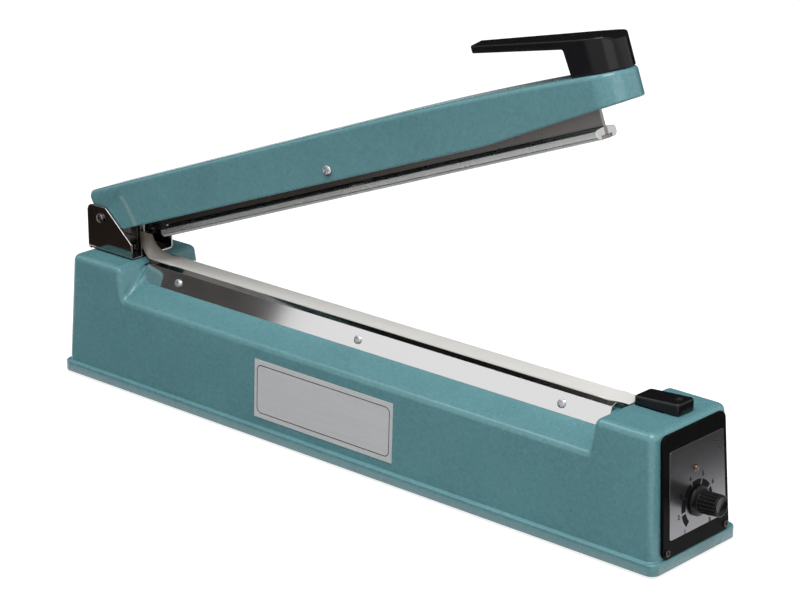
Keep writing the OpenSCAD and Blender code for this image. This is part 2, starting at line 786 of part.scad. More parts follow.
module transformer_coil() color("#8c4f24") translate([coil_x, 0, floor_top_z + core[2] / 2]) {
  coil_l = leg + 2 * (core_gap - coil_room);
  coil_h = core_gap_h - 2 * fit_gap;
  difference() {
    cube([coil_l, coil_w, coil_h], center = true);
    cube([leg + 2 * fit_gap, core[1] + 2 * fit_gap, coil_h + cut], center = true);
  }
}

board_x = 165;
board = [70, 52, 1.6];
post_h = 10;
post_d = 6;
post_pin_d = 2.9;
post_pin_up = 1.5;
board_hole_d = 3;
board_hole_in = 5;
capacitor_d = 12;
capacitor_h = 16;
capacitor_at = [-20, 0];
relay = [18, 15, 12];
relay_at = [6, -14];
driver = [12, 10, 7];
driver_at = [4, 8];

module at_board_corners(z) {
  for (sx = [-1, 1], sy = [-1, 1])
    translate([sx * (board[0] / 2 - board_hole_in), sy * (board[1] / 2 - board_hole_in), z]) children();
}

module timer_board() color("#2d6b3c") translate([board_x, 0, floor_top_z + post_h]) {
  difference() {
    translate([-board[0] / 2, -board[1] / 2, 0]) cube(board);
    at_board_corners(-cut) cylinder(d = board_hole_d, h = board[2] + 2 * cut);
  }
  translate([0, 0, board[2]]) {
    translate(capacitor_at) cylinder(d = capacitor_d, h = capacitor_h);
    translate(relay_at) cube(relay);
    translate(driver_at) cube(driver);
  }
}

module board_posts() color("#d6d6cf") translate([board_x, 0, floor_top_z]) at_board_corners(0) {
  cylinder(d = post_d, h = post_h);
  cylinder(d = post_pin_d, h = post_h + board[2] + post_pin_up);
}

// Switch and return gear
module switch_bracket() color("#a9adb0") translate([rod_x, 0, floor_top_z]) difference() {
  union() {
    translate([-bridge_len / 2, -bridge_w / 2, bridge_h - bridge_t]) cube([bridge_len, bridge_w, bridge_t]);
    for (s = [-1, 1]) translate([-bridge_len / 2, s * (bridge_w - bridge_t) / 2 - bridge_t / 2, 0])
      cube([bridge_len, bridge_t, bridge_h]);
  }
  cylinder(d = rod_d + 2 * run_gap, h = bridge_h + cut);
}

module micro_switch() color("#1d1d1f") difference() {
  translate([rod_x - switch_l / 2, -switch_w / 2, floor_top_z])
    cube([switch_l, switch_w, switch_top_z - floor_top_z]);
  translate([rod_x, 0, switch_top_z - button_hole])
    cylinder(d = button_d + 2 * run_gap, h = button_hole + cut);
  for (s = [-1, 1]) translate([rod_x + s * switch_hole_x, 0, floor_top_z + switch_hole_up])
    rotate([90, 0, 0]) cylinder(d = switch_hole_d, h = switch_w + 2 * cut, center = true);
}

module switch_button() color("#b3221a") translate([rod_x, 0, switch_top_z - button_in])
  cylinder(d = button_d, h = button_up + button_in);

module return_rod() color("#b9bdc1") {
  translate([rod_x, 0, rod_end_z]) cylinder(d = rod_d, h = rod_tip_z - rod_end_z);
  translate([rod_x, 0, rod_tip_z]) sphere(d = rod_d);
  translate([rod_x, 0, collar_top_z - collar_t]) cylinder(d = collar_d, h = collar_t);
}

module rod_bush() color("#d9d4c4") translate([rod_x, 0, foot_h + block_h - wall]) difference() {
  union() {
    cylinder(d = rod_bush_d, h = wall);
    translate([0, 0, -rod_bush_rim]) cylinder(d = rod_bush_d + 2 * rod_bush_rim, h = rod_bush_rim);
  }
  translate([0, 0, -rod_bush_rim - cut])
    cylinder(d = rod_d + 2 * run_gap, h = wall + rod_bush_rim + 2 * cut);
}

// Points of a ring of the spring's wire at turn t, from 0 at the foot to 1 at the top
wire_sides = 6;
wire_rings = spring_turns * 12;
spring_foot = bridge_top_z + wire_d / 2 + fit_gap;
spring_rise = spring_top_z - wire_d / 2 - fit_gap - spring_foot;
spring_mid_r = spring_d / 2 - wire_d / 2;
function wire_ring(t) = [
  for (k = [0:wire_sides - 1])
    let (a = 360 * spring_turns * t, b = 360 * k / wire_sides, r = spring_mid_r + wire_d / 2 * cos(b))
      [r * cos(a), r * sin(a), spring_rise * t + wire_d / 2 * sin(b)]
];
echo(least_gap_between_turns = spring_rise / spring_turns - wire_d);

module return_spring() color("#c9ccce") translate([rod_x, 0, spring_foot]) {
  points = [for (i = [0:wire_rings]) each wire_ring(i / wire_rings)];
  last = wire_rings * wire_sides;
  sides = [
    for (i = [0:wire_rings - 1], k = [0:wire_sides - 1])
      let (a = i * wire_sides + k, b = i * wire_sides + (k + 1) % wire_sides)
        each [[a, a + wire_sides, b], [b, a + wire_sides, b + wire_sides]]
  ];
  ends = [
    for (k = [1:wire_sides - 2]) each [[0, k, k + 1], [last, last + k + 1, last + k]]
  ];
  polyhedron(points, concat(sides, ends));
}

// Hinge
module ear_outline() {
  low = -pin_up;
  difference() {
    polygon([
      [-ear_back, low], [-ear_back, ear_up], [ear_flat, ear_up],
      [ear_front - ear_chamfer, low + ear_foot_up], [ear_front, low + ear_foot_up - ear_chamfer],
      [ear_front, low]
    ]);
    translate([-ear_back, ear_up - ear_r]) difference() {
      translate([-cut, 0]) square(ear_r + cut);
      translate([ear_r, 0]) circle(ear_r);
    }
  }
}

module bracket_outline() {
  tall = pin_up + ear_up + cut;
  bend = bracket_t + bracket_bend_r;
  difference() {
    translate([0, tall / 2]) union() {
      square([bracket_w - 2 * bend, tall], center = true);
      translate([0, bend / 2]) square([bracket_w, tall - bend], center = true);
      for (s = [-1, 1]) translate([s * (bracket_w / 2 - bend), bend - tall / 2]) circle(bend);
    }
    translate([0, bracket_t + tall / 2]) square([bracket_w - 2 * bracket_t, tall], center = true);
  }
}

module hinge_bracket() color("#8f9396") translate([pin_x, 0, pin_z]) difference() {
  union() {
    intersection() {
      across(bracket_w + cut) ear_outline();
      translate([0, 0, -pin_up]) along(-ear_back - cut, ear_front + cut) bracket_outline();
    }
    translate([-ear_back, bracket_t / 2 - bracket_w / 2, bracket_t / 2 - pin_up])
      cube([bracket_t, bracket_w - bracket_t, bracket_rear_h - bracket_t / 2]);
  }
  rotate([90, 0, 0]) cylinder(d = pin_d, h = bracket_w + 2 * cut, center = true);
  for (x = bracket_screw_xs) translate([x - pin_x, 0, -pin_up - cut])
    cylinder(d = bracket_screw_d, h = bracket_t + 2 * cut);
  translate([rod_ahead, 0, -pin_up - cut]) cylinder(d = rod_d + 2 * rod_clear, h = bracket_t + 2 * cut);
}

module bracket_screws() color("#b8bcc0") for (x = bracket_screw_xs)
  translate([x, 0, foot_h + block_h + bracket_t])
    pan_screw(bracket_screw_d, bracket_screw_head, bracket_screw_head_t, bracket_t + bracket_screw_grip);

module hinge_pin() color("#c3c6c9") translate([pin_x, -bracket_w / 2, pin_z]) rotate([90, 0, 0])
  pan_screw(pin_d, pin_head_d, pin_head_t, bracket_w + pin_thread);

module hinge_nut() color("#c3c6c9") translate([pin_x, bracket_w / 2, pin_z]) rotate([-90, 0, 0])
  hex_nut(pin_d, pin_nut_af, pin_nut_t);

module hinge_bushes() color("#e2ddcf") arm_frame() for (s = [-1, 1])
  rotate([s * 90, 0, 0]) difference() {
    union() {
      translate([0, 0, tail_w / 2 - arm_t]) cylinder(d = bush_d, h = arm_t);
      translate([0, 0, tail_w / 2]) cylinder(d = bush_flange_d, h = bush_flange_t);
    }
    cylinder(d = pin_d + 2 * run_gap, h = tail_w);
  }

// Press arm: corner cuts at the tail, then the outline of the ear pockets
tail_low = 3;
tail_high = 4;
tail_in = 3.5;
pocket_over = 4;
pocket_roof = 7;
pocket_slope_in = 6.5;
pocket_slope_drop = 1;
pocket_front = 2;
pocket_front_up = 0.8;
pocket_lean = 0.6;

module arm_side(inset) {
  top_pts = [
    for (i = [0:top_steps])
      let (u = arm_l - nose_fall_l * (1 - i / top_steps)) [u, top_at(u) - inset]
  ];
  polygon(concat(
    [[-tail_back + inset, -arm_drop + tail_low], [-tail_back + inset, arm_top - tail_high - inset / 2],
     [-tail_back + tail_in + inset / 2, arm_top - inset]],
    top_pts,
    inset > 0
      ? [[arm_l, -arm_drop - cut], [-tail_back + inset, -arm_drop - cut]]
      : [[arm_l, nose_bottom], [arm_l - nose_rise_l, -arm_drop], [-tail_back + tail_low, -arm_drop]]));
}

module arm_plan(half, r, back) {
  translate([-back, -half]) square([arm_l - nose_r + back, 2 * half]);
  translate([arm_l - nose_r, -half + r]) square([r, 2 * (half - r)]);
  for (s = [-1, 1]) translate([arm_l - nose_r, s * (half - r)]) circle(r);
}

// Side outline of the pockets in which the hinge ears swing
module ear_pocket() {
  polygon([
    [-tail_back - pocket_over, -arm_drop - pocket_over], [-tail_back - pocket_over, arm_top - pocket_roof],
    [ear_flat, arm_top - pocket_roof], [ear_front - pocket_slope_in, ear_up - pocket_slope_drop],
    [ear_front + pocket_front, -arm_drop + pocket_front_up],
    [ear_front + pocket_front + pocket_lean, -arm_drop - pocket_over]
  ]);
}

module press_arm() color("#4f868c") arm_frame() difference() {
  intersection() {
    across(arm_w) arm_side(0);
    translate([0, 0, -arm_drop - cut]) linear_extrude(arm_drop + arm_top + 2 * cut)
      arm_plan(arm_w / 2, nose_r, tail_back + cut);
  }
  intersection() {
    across(arm_w) arm_side(arm_t);
    translate([0, 0, -arm_drop - 2 * cut]) linear_extrude(arm_drop + arm_top + 3 * cut) union() {
      translate([-tail_back, -tail_w / 2 + arm_t]) square([tail_l + tail_back + cut, tail_w - 2 * arm_t]);
      intersection() {
        arm_plan(arm_w / 2 - arm_t, nose_r - arm_t, 0);
        translate([tail_l, -arm_w]) square([arm_l, 2 * arm_w]);
      }
    }
  }
  for (s = [-1, 1]) translate([0, s * (tail_w / 2 + arm_w / 2), 0]) across(arm_w) ear_pocket();
  rotate([90, 0, 0]) cylinder(d = bush_d, h = arm_w + 2 * cut, center = true);
  translate([pivot_u, 0, pivot_w]) rotate([90, 0, 0])
    cylinder(d = pivot_d, h = arm_w + 2 * cut, center = true);
  for (u = handle_screw_us) translate([u, 0, 0]) cylinder(d = handle_screw_d, h = arm_top + cut);
}

module strike_plate() color("#a9adb0") arm_frame() translate([rod_ahead - strike_l / 2, 0, -strike_down])
  difference() {
    half = tail_w / 2 - arm_t;
    translate([0, -half, 0]) cube([strike_l, 2 * half, strike_h]);
    translate([-cut, strike_t - half, strike_t]) cube([strike_l + 2 * cut, 2 * (half - strike_t), strike_h]);
  }

// Handle
module handle_side() {
  low_inner = grip_top(post_back) - grip_t;
  polygon([
    for (i = [0:foot_steps]) let (u = post_back + post_l * i / foot_steps) [u, top_at(u) + fit_gap],
    [arm_l, grip_top_nose - handle_edge], [arm_l - handle_edge, grip_top_nose],
    [grip_free - grip_skew, grip_top(grip_free - grip_skew)],
    [grip_free - grip_skew, grip_top(grip_free - grip_skew) - grip_t + grip_thin],
    [post_back - handle_corner, low_inner + grip_thin / 2], [post_back, low_inner - handle_corner]
  ]);
}

module handle_plan() {
  half = handle_w / 2;
  end_half = grip_end_w / 2;
  round_u = arm_l - handle_r - handle_in;
  translate([post_back, -half]) square([round_u - post_back, handle_w]);
  translate([round_u, -half + handle_r]) square([handle_r, 2 * (half - handle_r)]);
  for (s = [-1, 1]) translate([round_u, s * (half - handle_r)]) circle(handle_r);
  polygon([
    [grip_free + grip_skew / 2, -end_half], [post_back + cut, -half],
    [post_back + cut, half], [grip_free - grip_skew / 2, end_half]
  ]);
}

module handle() color("#121212") arm_frame() difference() {
  intersection() {
    across(handle_w + cut) handle_side();
    linear_extrude(grip_top(grip_free - grip_skew) + cut) handle_plan();
  }
  for (u = handle_screw_us) translate([u, 0, 0])
    cylinder(d = handle_screw_d, h = seat_at(u) + handle_screw_l);
}

module handle_screws() color("#b8bcc0") arm_frame() for (u = handle_screw_us)
  translate([u, 0, seat_at(u)]) rotate([180, 0, 0])
    pan_screw(handle_screw_d, handle_screw_head, handle_screw_head_t, handle_screw_l);

// Press bar
module bar_outline() {
  half = bar_w / 2;
  groove = strip_w / 2 + fit_gap;
  groove_t = strip_t - strip_proud + fit_gap;
  right = [
    [groove, bar_low + groove_t], [groove, bar_low], [half - bar_under, bar_low],
    [half, bar_low + bar_under], [half, bar_low + bar_edge_t],
    [half - bar_chamfer, bar_low + bar_edge_t + bar_chamfer], [web_t / 2, bar_low + bar_mid_t],
    [web_t / 2, pivot_w + web_up]
  ];
  polygon(concat(right, [for (i = [len(right) - 1:-1:0]) [-right[i][0], right[i][1]]]));
}

module press_bar() color("#c4c4c2") arm_frame() difference() {
  union() {
    along(bar_start, bar_end) bar_outline();
    translate([bar_start - web_rear, -web_t / 2, bar_low + bar_mid_t])
      cube([web_rear + cut, web_t, pivot_w + web_up - bar_low - bar_mid_t]);
  }
  translate([pivot_u, 0, pivot_w]) rotate([90, 0, 0])
    cylinder(d = pivot_d + 2 * run_gap, h = web_t + 2 * cut, center = true);
}

module silicone_strip() color("#a8a39b") arm_frame()
  translate([bar_start + strip_in, -strip_w / 2, strip_low])
    cube([bar_l - 2 * strip_in, strip_w, strip_t]);

module pivot_screw() color("#b8bcc0") arm_frame()
  translate([pivot_u, -arm_w / 2, pivot_w]) rotate([90, 0, 0])
    pan_screw(pivot_d, pivot_head_d, pivot_head_t, arm_w + pivot_thread);

module pivot_nut() color("#b8bcc0") arm_frame()
  translate([pivot_u, arm_w / 2, pivot_w]) rotate([-90, 0, 0])
    hex_nut(pivot_d, pivot_nut_af, pivot_nut_t);

module pivot_spacers() color("#d9d4c4") arm_frame() for (s = [-1, 1])
  translate([pivot_u, 0, pivot_w]) rotate([s * 90, 0, 0]) translate([0, 0, web_t / 2 + side_gap])
    difference() {
      cylinder(d = pivot_d + 2 * spacer_wall, h = arm_w / 2 - arm_t - web_t / 2 - side_gap);
      translate([0, 0, -cut]) cylinder(d = pivot_d, h = arm_w);
    }

// Jaw
module jaw_bar() color("#b9bcbe") on_base()
  translate([jaw_rear_x, -jaw_w / 2, jaw_base_h]) cube([jaw_l, jaw_w, jaw_t]);

module insulating_strip() color("#d8cdb4") on_base() translate([0, 0, block_h]) {
  translate([jaw_rear_x, -insulator_w / 2, 0]) cube([jaw_l, insulator_w, insulator_t]);
  translate([jaw_front_x - cut, -tail_strip_w / 2, 0])
    cube([terminal_x + terminal_l - jaw_front_x + cut, tail_strip_w, insulator_t]);
}

module heating_element() color("#7d7468") on_base() translate([jaw_rear_x, -element_w / 2, insulator_top_h])
  cube([terminal_x - jaw_rear_x, element_w, element_t]);

// Side outline of the cloth: loose curl at the rear, then flat up to the terminal cap
curl_steps = 8;
curl_start_x = jaw_rear_x + jaw_rear_over;
function curl_x(a) = curl_start_x - cloth_curl_l * sin(a);
function curl_h(a) = cloth_low_h + cloth_curl_h * (1 - cos(a));

module cloth_outline() {
  curl = [for (i = [1:curl_steps]) 90 * i / curl_steps];
  polygon(concat(
    [[cap_x - side_gap, cloth_low_h], [curl_start_x, cloth_low_h]],
    [for (a = curl) [curl_x(a), curl_h(a)]],
    [for (i = [curl_steps - 1:-1:0]) let (a = curl[i])
      [curl_x(a) + cloth_t * sin(a), curl_h(a) + cloth_t * cos(a)]],
    [[curl_start_x, cloth_top_h], [cap_x - side_gap, cloth_top_h]]));
}

module nonstick_cloth() color("#d9d6cf") on_base() {
  across(2 * cloth_half) cloth_outline();
  for (y = [-cloth_half, cloth_half - cloth_t]) translate([curl_start_x, y, cloth_low_h - cloth_drop])
    cube([jaw_front_x - curl_start_x, cloth_t, cloth_drop + cloth_t]);
}

module plate_outline() {
  lip_deep = plate_t / cos(plate_lip_angle);
  inner_drop = (lip_deep - plate_wide * tan(plate_lip_angle)) / (1 - tan(plate_lean) * tan(plate_lip_angle));
  polygon([
    [plate_foot_y, plate_foot_h], [plate_bend_y, plate_bend_h], [plate_lip_y, plate_lip_h],
    [plate_lip_y, plate_lip_h - lip_deep],
    [plate_bend_y - plate_wide + inner_drop * tan(plate_lean), plate_bend_h - inner_drop],
    [plate_foot_y - plate_wide, plate_foot_h]
  ]);
}

// One clamp plate: side is -1 at the front and 1 at the rear
module clamp_plate(side) {
  on_base() difference() {
    along(plate_rear_x, plate_front_x) mirror([side < 0 ? 1 : 0, 0]) plate_outline();
    for (x = plate_screw_xs) on_plate(x, side) cylinder(d = plate_screw_d, h = 3 * plate_t, center = true);
  }
}

module front_clamp_plate() color("#aeb0b2") clamp_plate(-1);

module rear_clamp_plate() color("#aeb0b2") clamp_plate(1);

module plate_screws() color("#c3c6c9") on_base() for (x = plate_screw_xs, side = [-1, 1])
  on_plate(x, side) pan_screw(plate_screw_d, plate_screw_head, plate_screw_head_t, plate_screw_l);

module terminal_cap() color("#111111") on_base() translate([cap_x, cap_y - cap_w / 2, block_h]) difference() {
  intersection() {
    translate([cap_l / 2, cap_w / 2, 0]) linear_extrude(cap_h + cut) rounded_rect(cap_l, cap_w, cap_r);
    translate([0, cap_w / 2, 0]) across(cap_w + cut)
      polygon([[0, 0], [cap_l, 0], [cap_l, cap_h], [0, cap_low]]);
  }
  translate([cap_t, cap_t, -cut])
    cube([cap_l - 2 * cap_t - cap_solid, cap_w - 2 * cap_t, cap_low - cap_t + cut]);
  translate([-cut, cap_w / 2 - cap_y - tail_strip_w / 2 - cap_slot_gap, -cut])
    cube([cap_t + 2 * cut, tail_strip_w + 2 * cap_slot_gap, cut + cloth_top_h - block_h + cap_slot_gap / 2]);
  translate([cap_screw_x - cap_x, cap_w / 2, -cut]) cylinder(d = cap_screw_d, h = cap_h + 2 * cut);
  translate([cap_screw_x - cap_x, cap_w / 2, cap_seat])
    cylinder(d = cap_screw_head, h = cap_sink + cut);
}

module cap_screw() color("#3a3a3c") on_base() translate([cap_screw_x, cap_y, block_h + cap_seat])
  pan_screw(cap_screw_d, cap_screw_head - cap_slot_gap, cap_screw_head_t,
    cap_seat + wall + cap_screw_past);

module front_terminal() color("#b08d4a") on_base()
  translate([terminal_x, -tail_strip_w / 2, insulator_top_h])
    cube([terminal_l, tail_strip_w + terminal_side, terminal_t]);

module rear_terminal() color("#b08d4a") on_base()
  translate([jaw_rear_x - rear_terminal_l, -element_w, jaw_base_h])
    cube([rear_terminal_l, 2 * element_w, jaw_t + insulator_t + element_t]);

module rating_plate() color("#c9cccf") translate([label_x, -wall_y(label_mid), foot_h + label_mid])
  rotate([90 - side_draft, 0, 0]) linear_extrude(label_t) rounded_rect(label_l, label_h, label_r);

base_housing();
bottom_plate();
rubber_feet();
bottom_screws();
control_bezel();
dial_plate();
bezel_screws();
pilot_lamp();
potentiometer();
potentiometer_nut();
timer_board();
board_posts();
transformer_core();
transformer_coil();
micro_switch();
switch_bracket();
return_spring();
rod_bush();
hinge_bracket();
bracket_screws();
hinge_pin();
hinge_nut();
jaw_bar();
insulating_strip();
heating_element();
nonstick_cloth();
front_clamp_plate();
rear_clamp_plate();
plate_screws();
terminal_cap();
cap_screw();
front_terminal();
rear_terminal();
rating_plate();
cable_grommet();
press_arm();
handle();
handle_screws();
strike_plate();
hinge_bushes();
pivot_screw();
pivot_nut();
pivot_spacers();
press_bar();
silicone_strip();
timer_knob();
potentiometer_shaft();
return_rod();
switch_button();
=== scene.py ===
"""Looks of a hand impulse bag sealer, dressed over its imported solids.

Sizes are in millimetres, as they are on the real object. Every mesh is written in metres, in the
frame of the solids.
"""

import json
import logging
import math
from dataclasses import dataclass
from enum import Enum
from typing import Callable, Iterable, Sequence

import bmesh
import bpy
from mathutils import Matrix, Vector


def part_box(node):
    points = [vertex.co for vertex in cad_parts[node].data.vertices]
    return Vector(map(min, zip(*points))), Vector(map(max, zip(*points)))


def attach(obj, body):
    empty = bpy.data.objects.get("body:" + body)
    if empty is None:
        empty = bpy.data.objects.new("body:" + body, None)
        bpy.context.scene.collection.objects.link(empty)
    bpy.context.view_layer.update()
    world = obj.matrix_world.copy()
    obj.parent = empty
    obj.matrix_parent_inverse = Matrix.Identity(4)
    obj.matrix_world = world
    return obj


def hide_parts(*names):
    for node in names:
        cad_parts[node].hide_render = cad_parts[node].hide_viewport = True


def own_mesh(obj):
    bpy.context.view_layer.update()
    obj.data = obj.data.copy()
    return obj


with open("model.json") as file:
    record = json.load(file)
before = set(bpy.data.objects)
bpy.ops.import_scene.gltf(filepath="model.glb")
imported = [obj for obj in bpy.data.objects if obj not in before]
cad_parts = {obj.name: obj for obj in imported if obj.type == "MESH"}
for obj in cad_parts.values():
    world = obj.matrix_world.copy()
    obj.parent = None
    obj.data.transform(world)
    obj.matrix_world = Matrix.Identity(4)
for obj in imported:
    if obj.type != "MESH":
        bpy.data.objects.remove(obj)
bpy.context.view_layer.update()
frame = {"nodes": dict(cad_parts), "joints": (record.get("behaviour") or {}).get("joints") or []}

MM = 0.001
TO_METRES = Matrix.Scale(MM, 4)
SEAM = 0.002 * MM
SAME_LEVEL = 0.05 * MM
FLAT = math.radians(0.6)
LOG = logging.getLogger("bag_sealer")

Spot = tuple[float, float, float]
Colour = Spot
Point = tuple[float, float]
Vert = bmesh.types.BMVert
Height = Callable[[float], float]


class Body(Enum):
    """The bodies that the dressed pieces ride on."""

    BASE = "base"
    ARM = "arm"
    BAR = "bar"
    KNOB = "knob"


class Grain(Enum):
    """Stretch of a metal's grain along X, Y and Z: a small number draws the grain out that way."""

    NONE = (1.0, 1.0, 1.0)
    ALONG_X = (0.03, 1.0, 1.0)
    ALONG_Y = (1.0, 0.03, 1.0)


# Node trees

class NodeSheet:
    """Writes nodes into one tree."""

    def __init__(self, tree: bpy.types.NodeTree) -> None:
        """Keep the tree that the nodes go into."""
        self.tree = tree

    def add(self, kind: str, inputs: dict | None = None, **settings: object) -> bpy.types.Node:
        """Add a node.

        Args:
            kind: The node's type name.
            inputs: Values or sockets for the node's inputs, by name or number.
            settings: The node's own properties.

        Returns:
            The new node.
        """
        node = self.tree.nodes.new(kind)
        for key, value in settings.items():
            setattr(node, key, value)
        for key, value in (inputs or {}).items():
            if isinstance(value, bpy.types.NodeSocket):
                self.tree.links.new(value, node.inputs[key])
            else:
                node.inputs[key].default_value = value
        return node

    def math(self, operation: str, first: object, second: object = 0.0) -> bpy.types.NodeSocket:
        """Return the result of one sum on two values or sockets."""
        return self.add("ShaderNodeMath", {0: first, 1: second}, operation=operation).outputs[0]

    def mix(self, factor: object, first: object, second: object) -> bpy.types.NodeSocket:
        """Return a blend of two colours, given as sockets or as three numbers."""
        rgba = [c if isinstance(c, bpy.types.NodeSocket) else (*c, 1.0) for c in (first, second)]
        return self.add("ShaderNodeMix", {0: factor, 6: rgba[0], 7: rgba[1]}, data_type="RGBA").outputs[2]

    def spread(self, value: object, low: object, high: object, start: float = 0.0,
               end: float = 1.0) -> bpy.types.NodeSocket:
        """Return a value carried from the span start to end onto the span low to high."""
        inputs = {"Value": value, "From Min": start, "From Max": end, "To Min": low, "To Max": high}
        return self.add("ShaderNodeMapRange", inputs).outputs[0]


def node_group(name: str, kind: str, inputs: dict[str, str],
               outputs: dict[str, str]) -> tuple[NodeSheet, bpy.types.NodeOutputs, bpy.types.Node]:
    """Start a node group.

    Args:
        name: The group's name.
        kind: The tree's type name.
        inputs: Socket types by input name.
        outputs: Socket types by output name.

    Returns:
        The tree's sheet, its input node's sockets and its output node.
    """
    tree = bpy.data.node_groups.new(name, kind)
    for socket, socket_kind in inputs.items():
        tree.interface.new_socket(socket, in_out="INPUT", socket_type=socket_kind)
    for socket, socket_kind in outputs.items():
        tree.interface.new_socket(socket, in_out="OUTPUT", socket_type=socket_kind)
    sheet = NodeSheet(tree)
    return sheet, sheet.add("NodeGroupInput").outputs, sheet.add("NodeGroupOutput")


FLOAT, VECTOR = "NodeSocketFloat", "NodeSocketVector"


class Effects:
    """Shader groups that more than one finish uses."""

    def __init__(self) -> None:
        """Build each group once."""
        self.peel = self._peel()
        self.smudge = self._smudge()
        self.grain = self._grain()
        self.edges = self._edges()

    @staticmethod
    def _peel() -> bpy.types.NodeTree:
        """Return the rolling bumps of thick paint or moulded skin, with a tone that follows them.

        Returns:
            The group.
        """
        sheet, given, made = node_group(
            "peel", "ShaderNodeTree", {"Vector": VECTOR, "Scale": FLOAT}, {"Height": FLOAT, "Tone": FLOAT})
        waves = sheet.add("ShaderNodeTexNoise", {"Vector": given["Vector"], "Scale": given["Scale"],
                                                 "Detail": 1.5, "Roughness": 0.45})
        cells = sheet.add("ShaderNodeTexVoronoi", {"Vector": given["Vector"], "Scale": given["Scale"],
                                                   "Smoothness": 0.8}, feature="SMOOTH_F1")
        dimples = sheet.math("MULTIPLY", cells.outputs["Distance"], 0.35)
        height = sheet.math("ADD", waves.outputs["Fac"], dimples)
        broad = sheet.add("ShaderNodeTexNoise", {"Vector": given["Vector"],
                                                 "Scale": sheet.math("MULTIPLY", given["Scale"], 0.04)})
        tone = sheet.math("ADD", sheet.math("MULTIPLY", waves.outputs["Fac"], 0.6),
                          sheet.math("MULTIPLY", broad.outputs["Fac"], 0.4))
        sheet.tree.links.new(height, made.inputs["Height"])
        sheet.tree.links.new(tone, made.inputs["Tone"])
        return sheet.tree

    @staticmethod
    def _smudge() -> bpy.types.NodeTree:
        """Return the uneven gloss that handling leaves, between a low and a high value.

        Returns:
            The group.
        """
        sheet, given, made = node_group(
            "smudge", "ShaderNodeTree", {"Vector": VECTOR, "Scale": FLOAT, "Low": FLOAT, "High": FLOAT},
            {"Value": FLOAT})
        cloud = sheet.add("ShaderNodeTexNoise", {"Vector": given["Vector"], "Scale": given["Scale"],
                                                 "Detail": 4.0, "Roughness": 0.6, "Distortion": 0.4})
        value = sheet.spread(cloud.outputs["Fac"], given["Low"], given["High"], 0.3, 0.7)
        sheet.tree.links.new(value, made.inputs["Value"])
        return sheet.tree

    @staticmethod
    def _grain() -> bpy.types.NodeTree:
        """Return the fine lines of drawn or brushed metal, along the stretched direction.

        Returns:
            The group.
        """
        sheet, given, made = node_group(
            "grain", "ShaderNodeTree", {"Vector": VECTOR, "Stretch": VECTOR, "Scale": FLOAT},
            {"Height": FLOAT, "Tone": FLOAT})
        drawn = sheet.add("ShaderNodeVectorMath", {0: given["Vector"], 1: given["Stretch"]},
                          operation="MULTIPLY")
        lines = sheet.add("ShaderNodeTexNoise", {"Vector": drawn.outputs[0], "Scale": given["Scale"],
                                                 "Detail": 3.0, "Roughness": 0.7})
        broad = sheet.add("ShaderNodeTexNoise", {"Vector": drawn.outputs[0],
                                                 "Scale": sheet.math("MULTIPLY", given["Scale"], 0.12)})
        tone = sheet.math("ADD", sheet.math("MULTIPLY", lines.outputs["Fac"], 0.5),
                          sheet.math("MULTIPLY", broad.outputs["Fac"], 0.5))
        sheet.tree.links.new(lines.outputs["Fac"], made.inputs["Height"])
        sheet.tree.links.new(tone, made.inputs["Tone"])
        return sheet.tree

    @staticmethod
    def _edges() -> bpy.types.NodeTree:
        """Return a mask of outer edges, broken up by noise: the finishes lighten their edges with it, partly
        as wear and partly as a painted edge highlight.

        Returns:
            The group.
        """
        sheet, given, made = node_group(
            "edges", "ShaderNodeTree", {"Vector": VECTOR, "Scale": FLOAT}, {"Mask": FLOAT})
        bend = sheet.add("ShaderNodeNewGeometry").outputs["Pointiness"]
        cloud = sheet.add("ShaderNodeTexNoise", {"Vector": given["Vector"], "Scale": given["Scale"],
                                                 "Detail": 3.0})
        edge = sheet.spread(bend, 0.0, 1.0, 0.51, 0.6)
        mask = sheet.math("MULTIPLY", edge, sheet.spread(cloud.outputs["Fac"], 0.4, 1.0, 0.35, 0.65))
        sheet.tree.links.new(mask, made.inputs["Mask"])
        return sheet.tree


EFFECTS = Effects()


# Finishes

class Paintbox:
    """One material in the making: its sheet, its shader and its pattern's coordinates."""

    def __init__(self, name: str, coordinates: str = "Object") -> None:
        """Start a material with a Principled shader.

        Args:
            name: The material's name.
            coordinates: Which texture coordinates the patterns follow.
        """
        self.material = bpy.data.materials.new(name)
        self.material.use_nodes = True
        self.sheet = NodeSheet(self.material.node_tree)
        self.shader = self.material.node_tree.nodes["Principled BSDF"]
        self.place = self.sheet.add("ShaderNodeTexCoord").outputs[coordinates]

    def effect(self, tree: bpy.types.NodeTree, **inputs: object) -> bpy.types.NodeOutputs:
        """Place a shared group and return its outputs."""
        return self.sheet.add("ShaderNodeGroup", {"Vector": self.place, **inputs}, node_tree=tree).outputs

    def cloud(self, scale: float, low: float = 0.0, high: float = 1.0) -> bpy.types.NodeSocket:
        """Return a value that drifts between a low and a high one, as handling leaves a gloss."""
        return self.effect(EFFECTS.smudge, Scale=scale, Low=low, High=high)["Value"]

    def set(self, **inputs: object) -> None:
        """Set the shader's inputs; an underscore in a key stands for a space."""
        for key, value in inputs.items():
            socket = self.shader.inputs[key.replace("_", " ")]
            if isinstance(value, bpy.types.NodeSocket):
                self.sheet.tree.links.new(value, socket)
            else:
                socket.default_value = value

    def bump(self, height: bpy.types.NodeSocket, depth: float, strength: float) -> None:
        """Raise the surface by a height, whose full span is depth millimetres.

        Args:
            height: The pattern's height, from 0 to 1.
            depth: Its full span, millimetres.
            strength: How much of the bump shows.
        """
        node = self.sheet.add("ShaderNodeBump", {"Height": height, "Distance": depth * MM,
                                                 "Strength": strength})
        self.sheet.tree.links.new(node.outputs["Normal"], self.shader.inputs["Normal"])


def tinted(colour: Colour, gain: float, lift: float = 0.0) -> Colour:
    """Return a colour made darker or lighter."""
    return tuple(min(1.0, gain * c + lift) for c in colour)


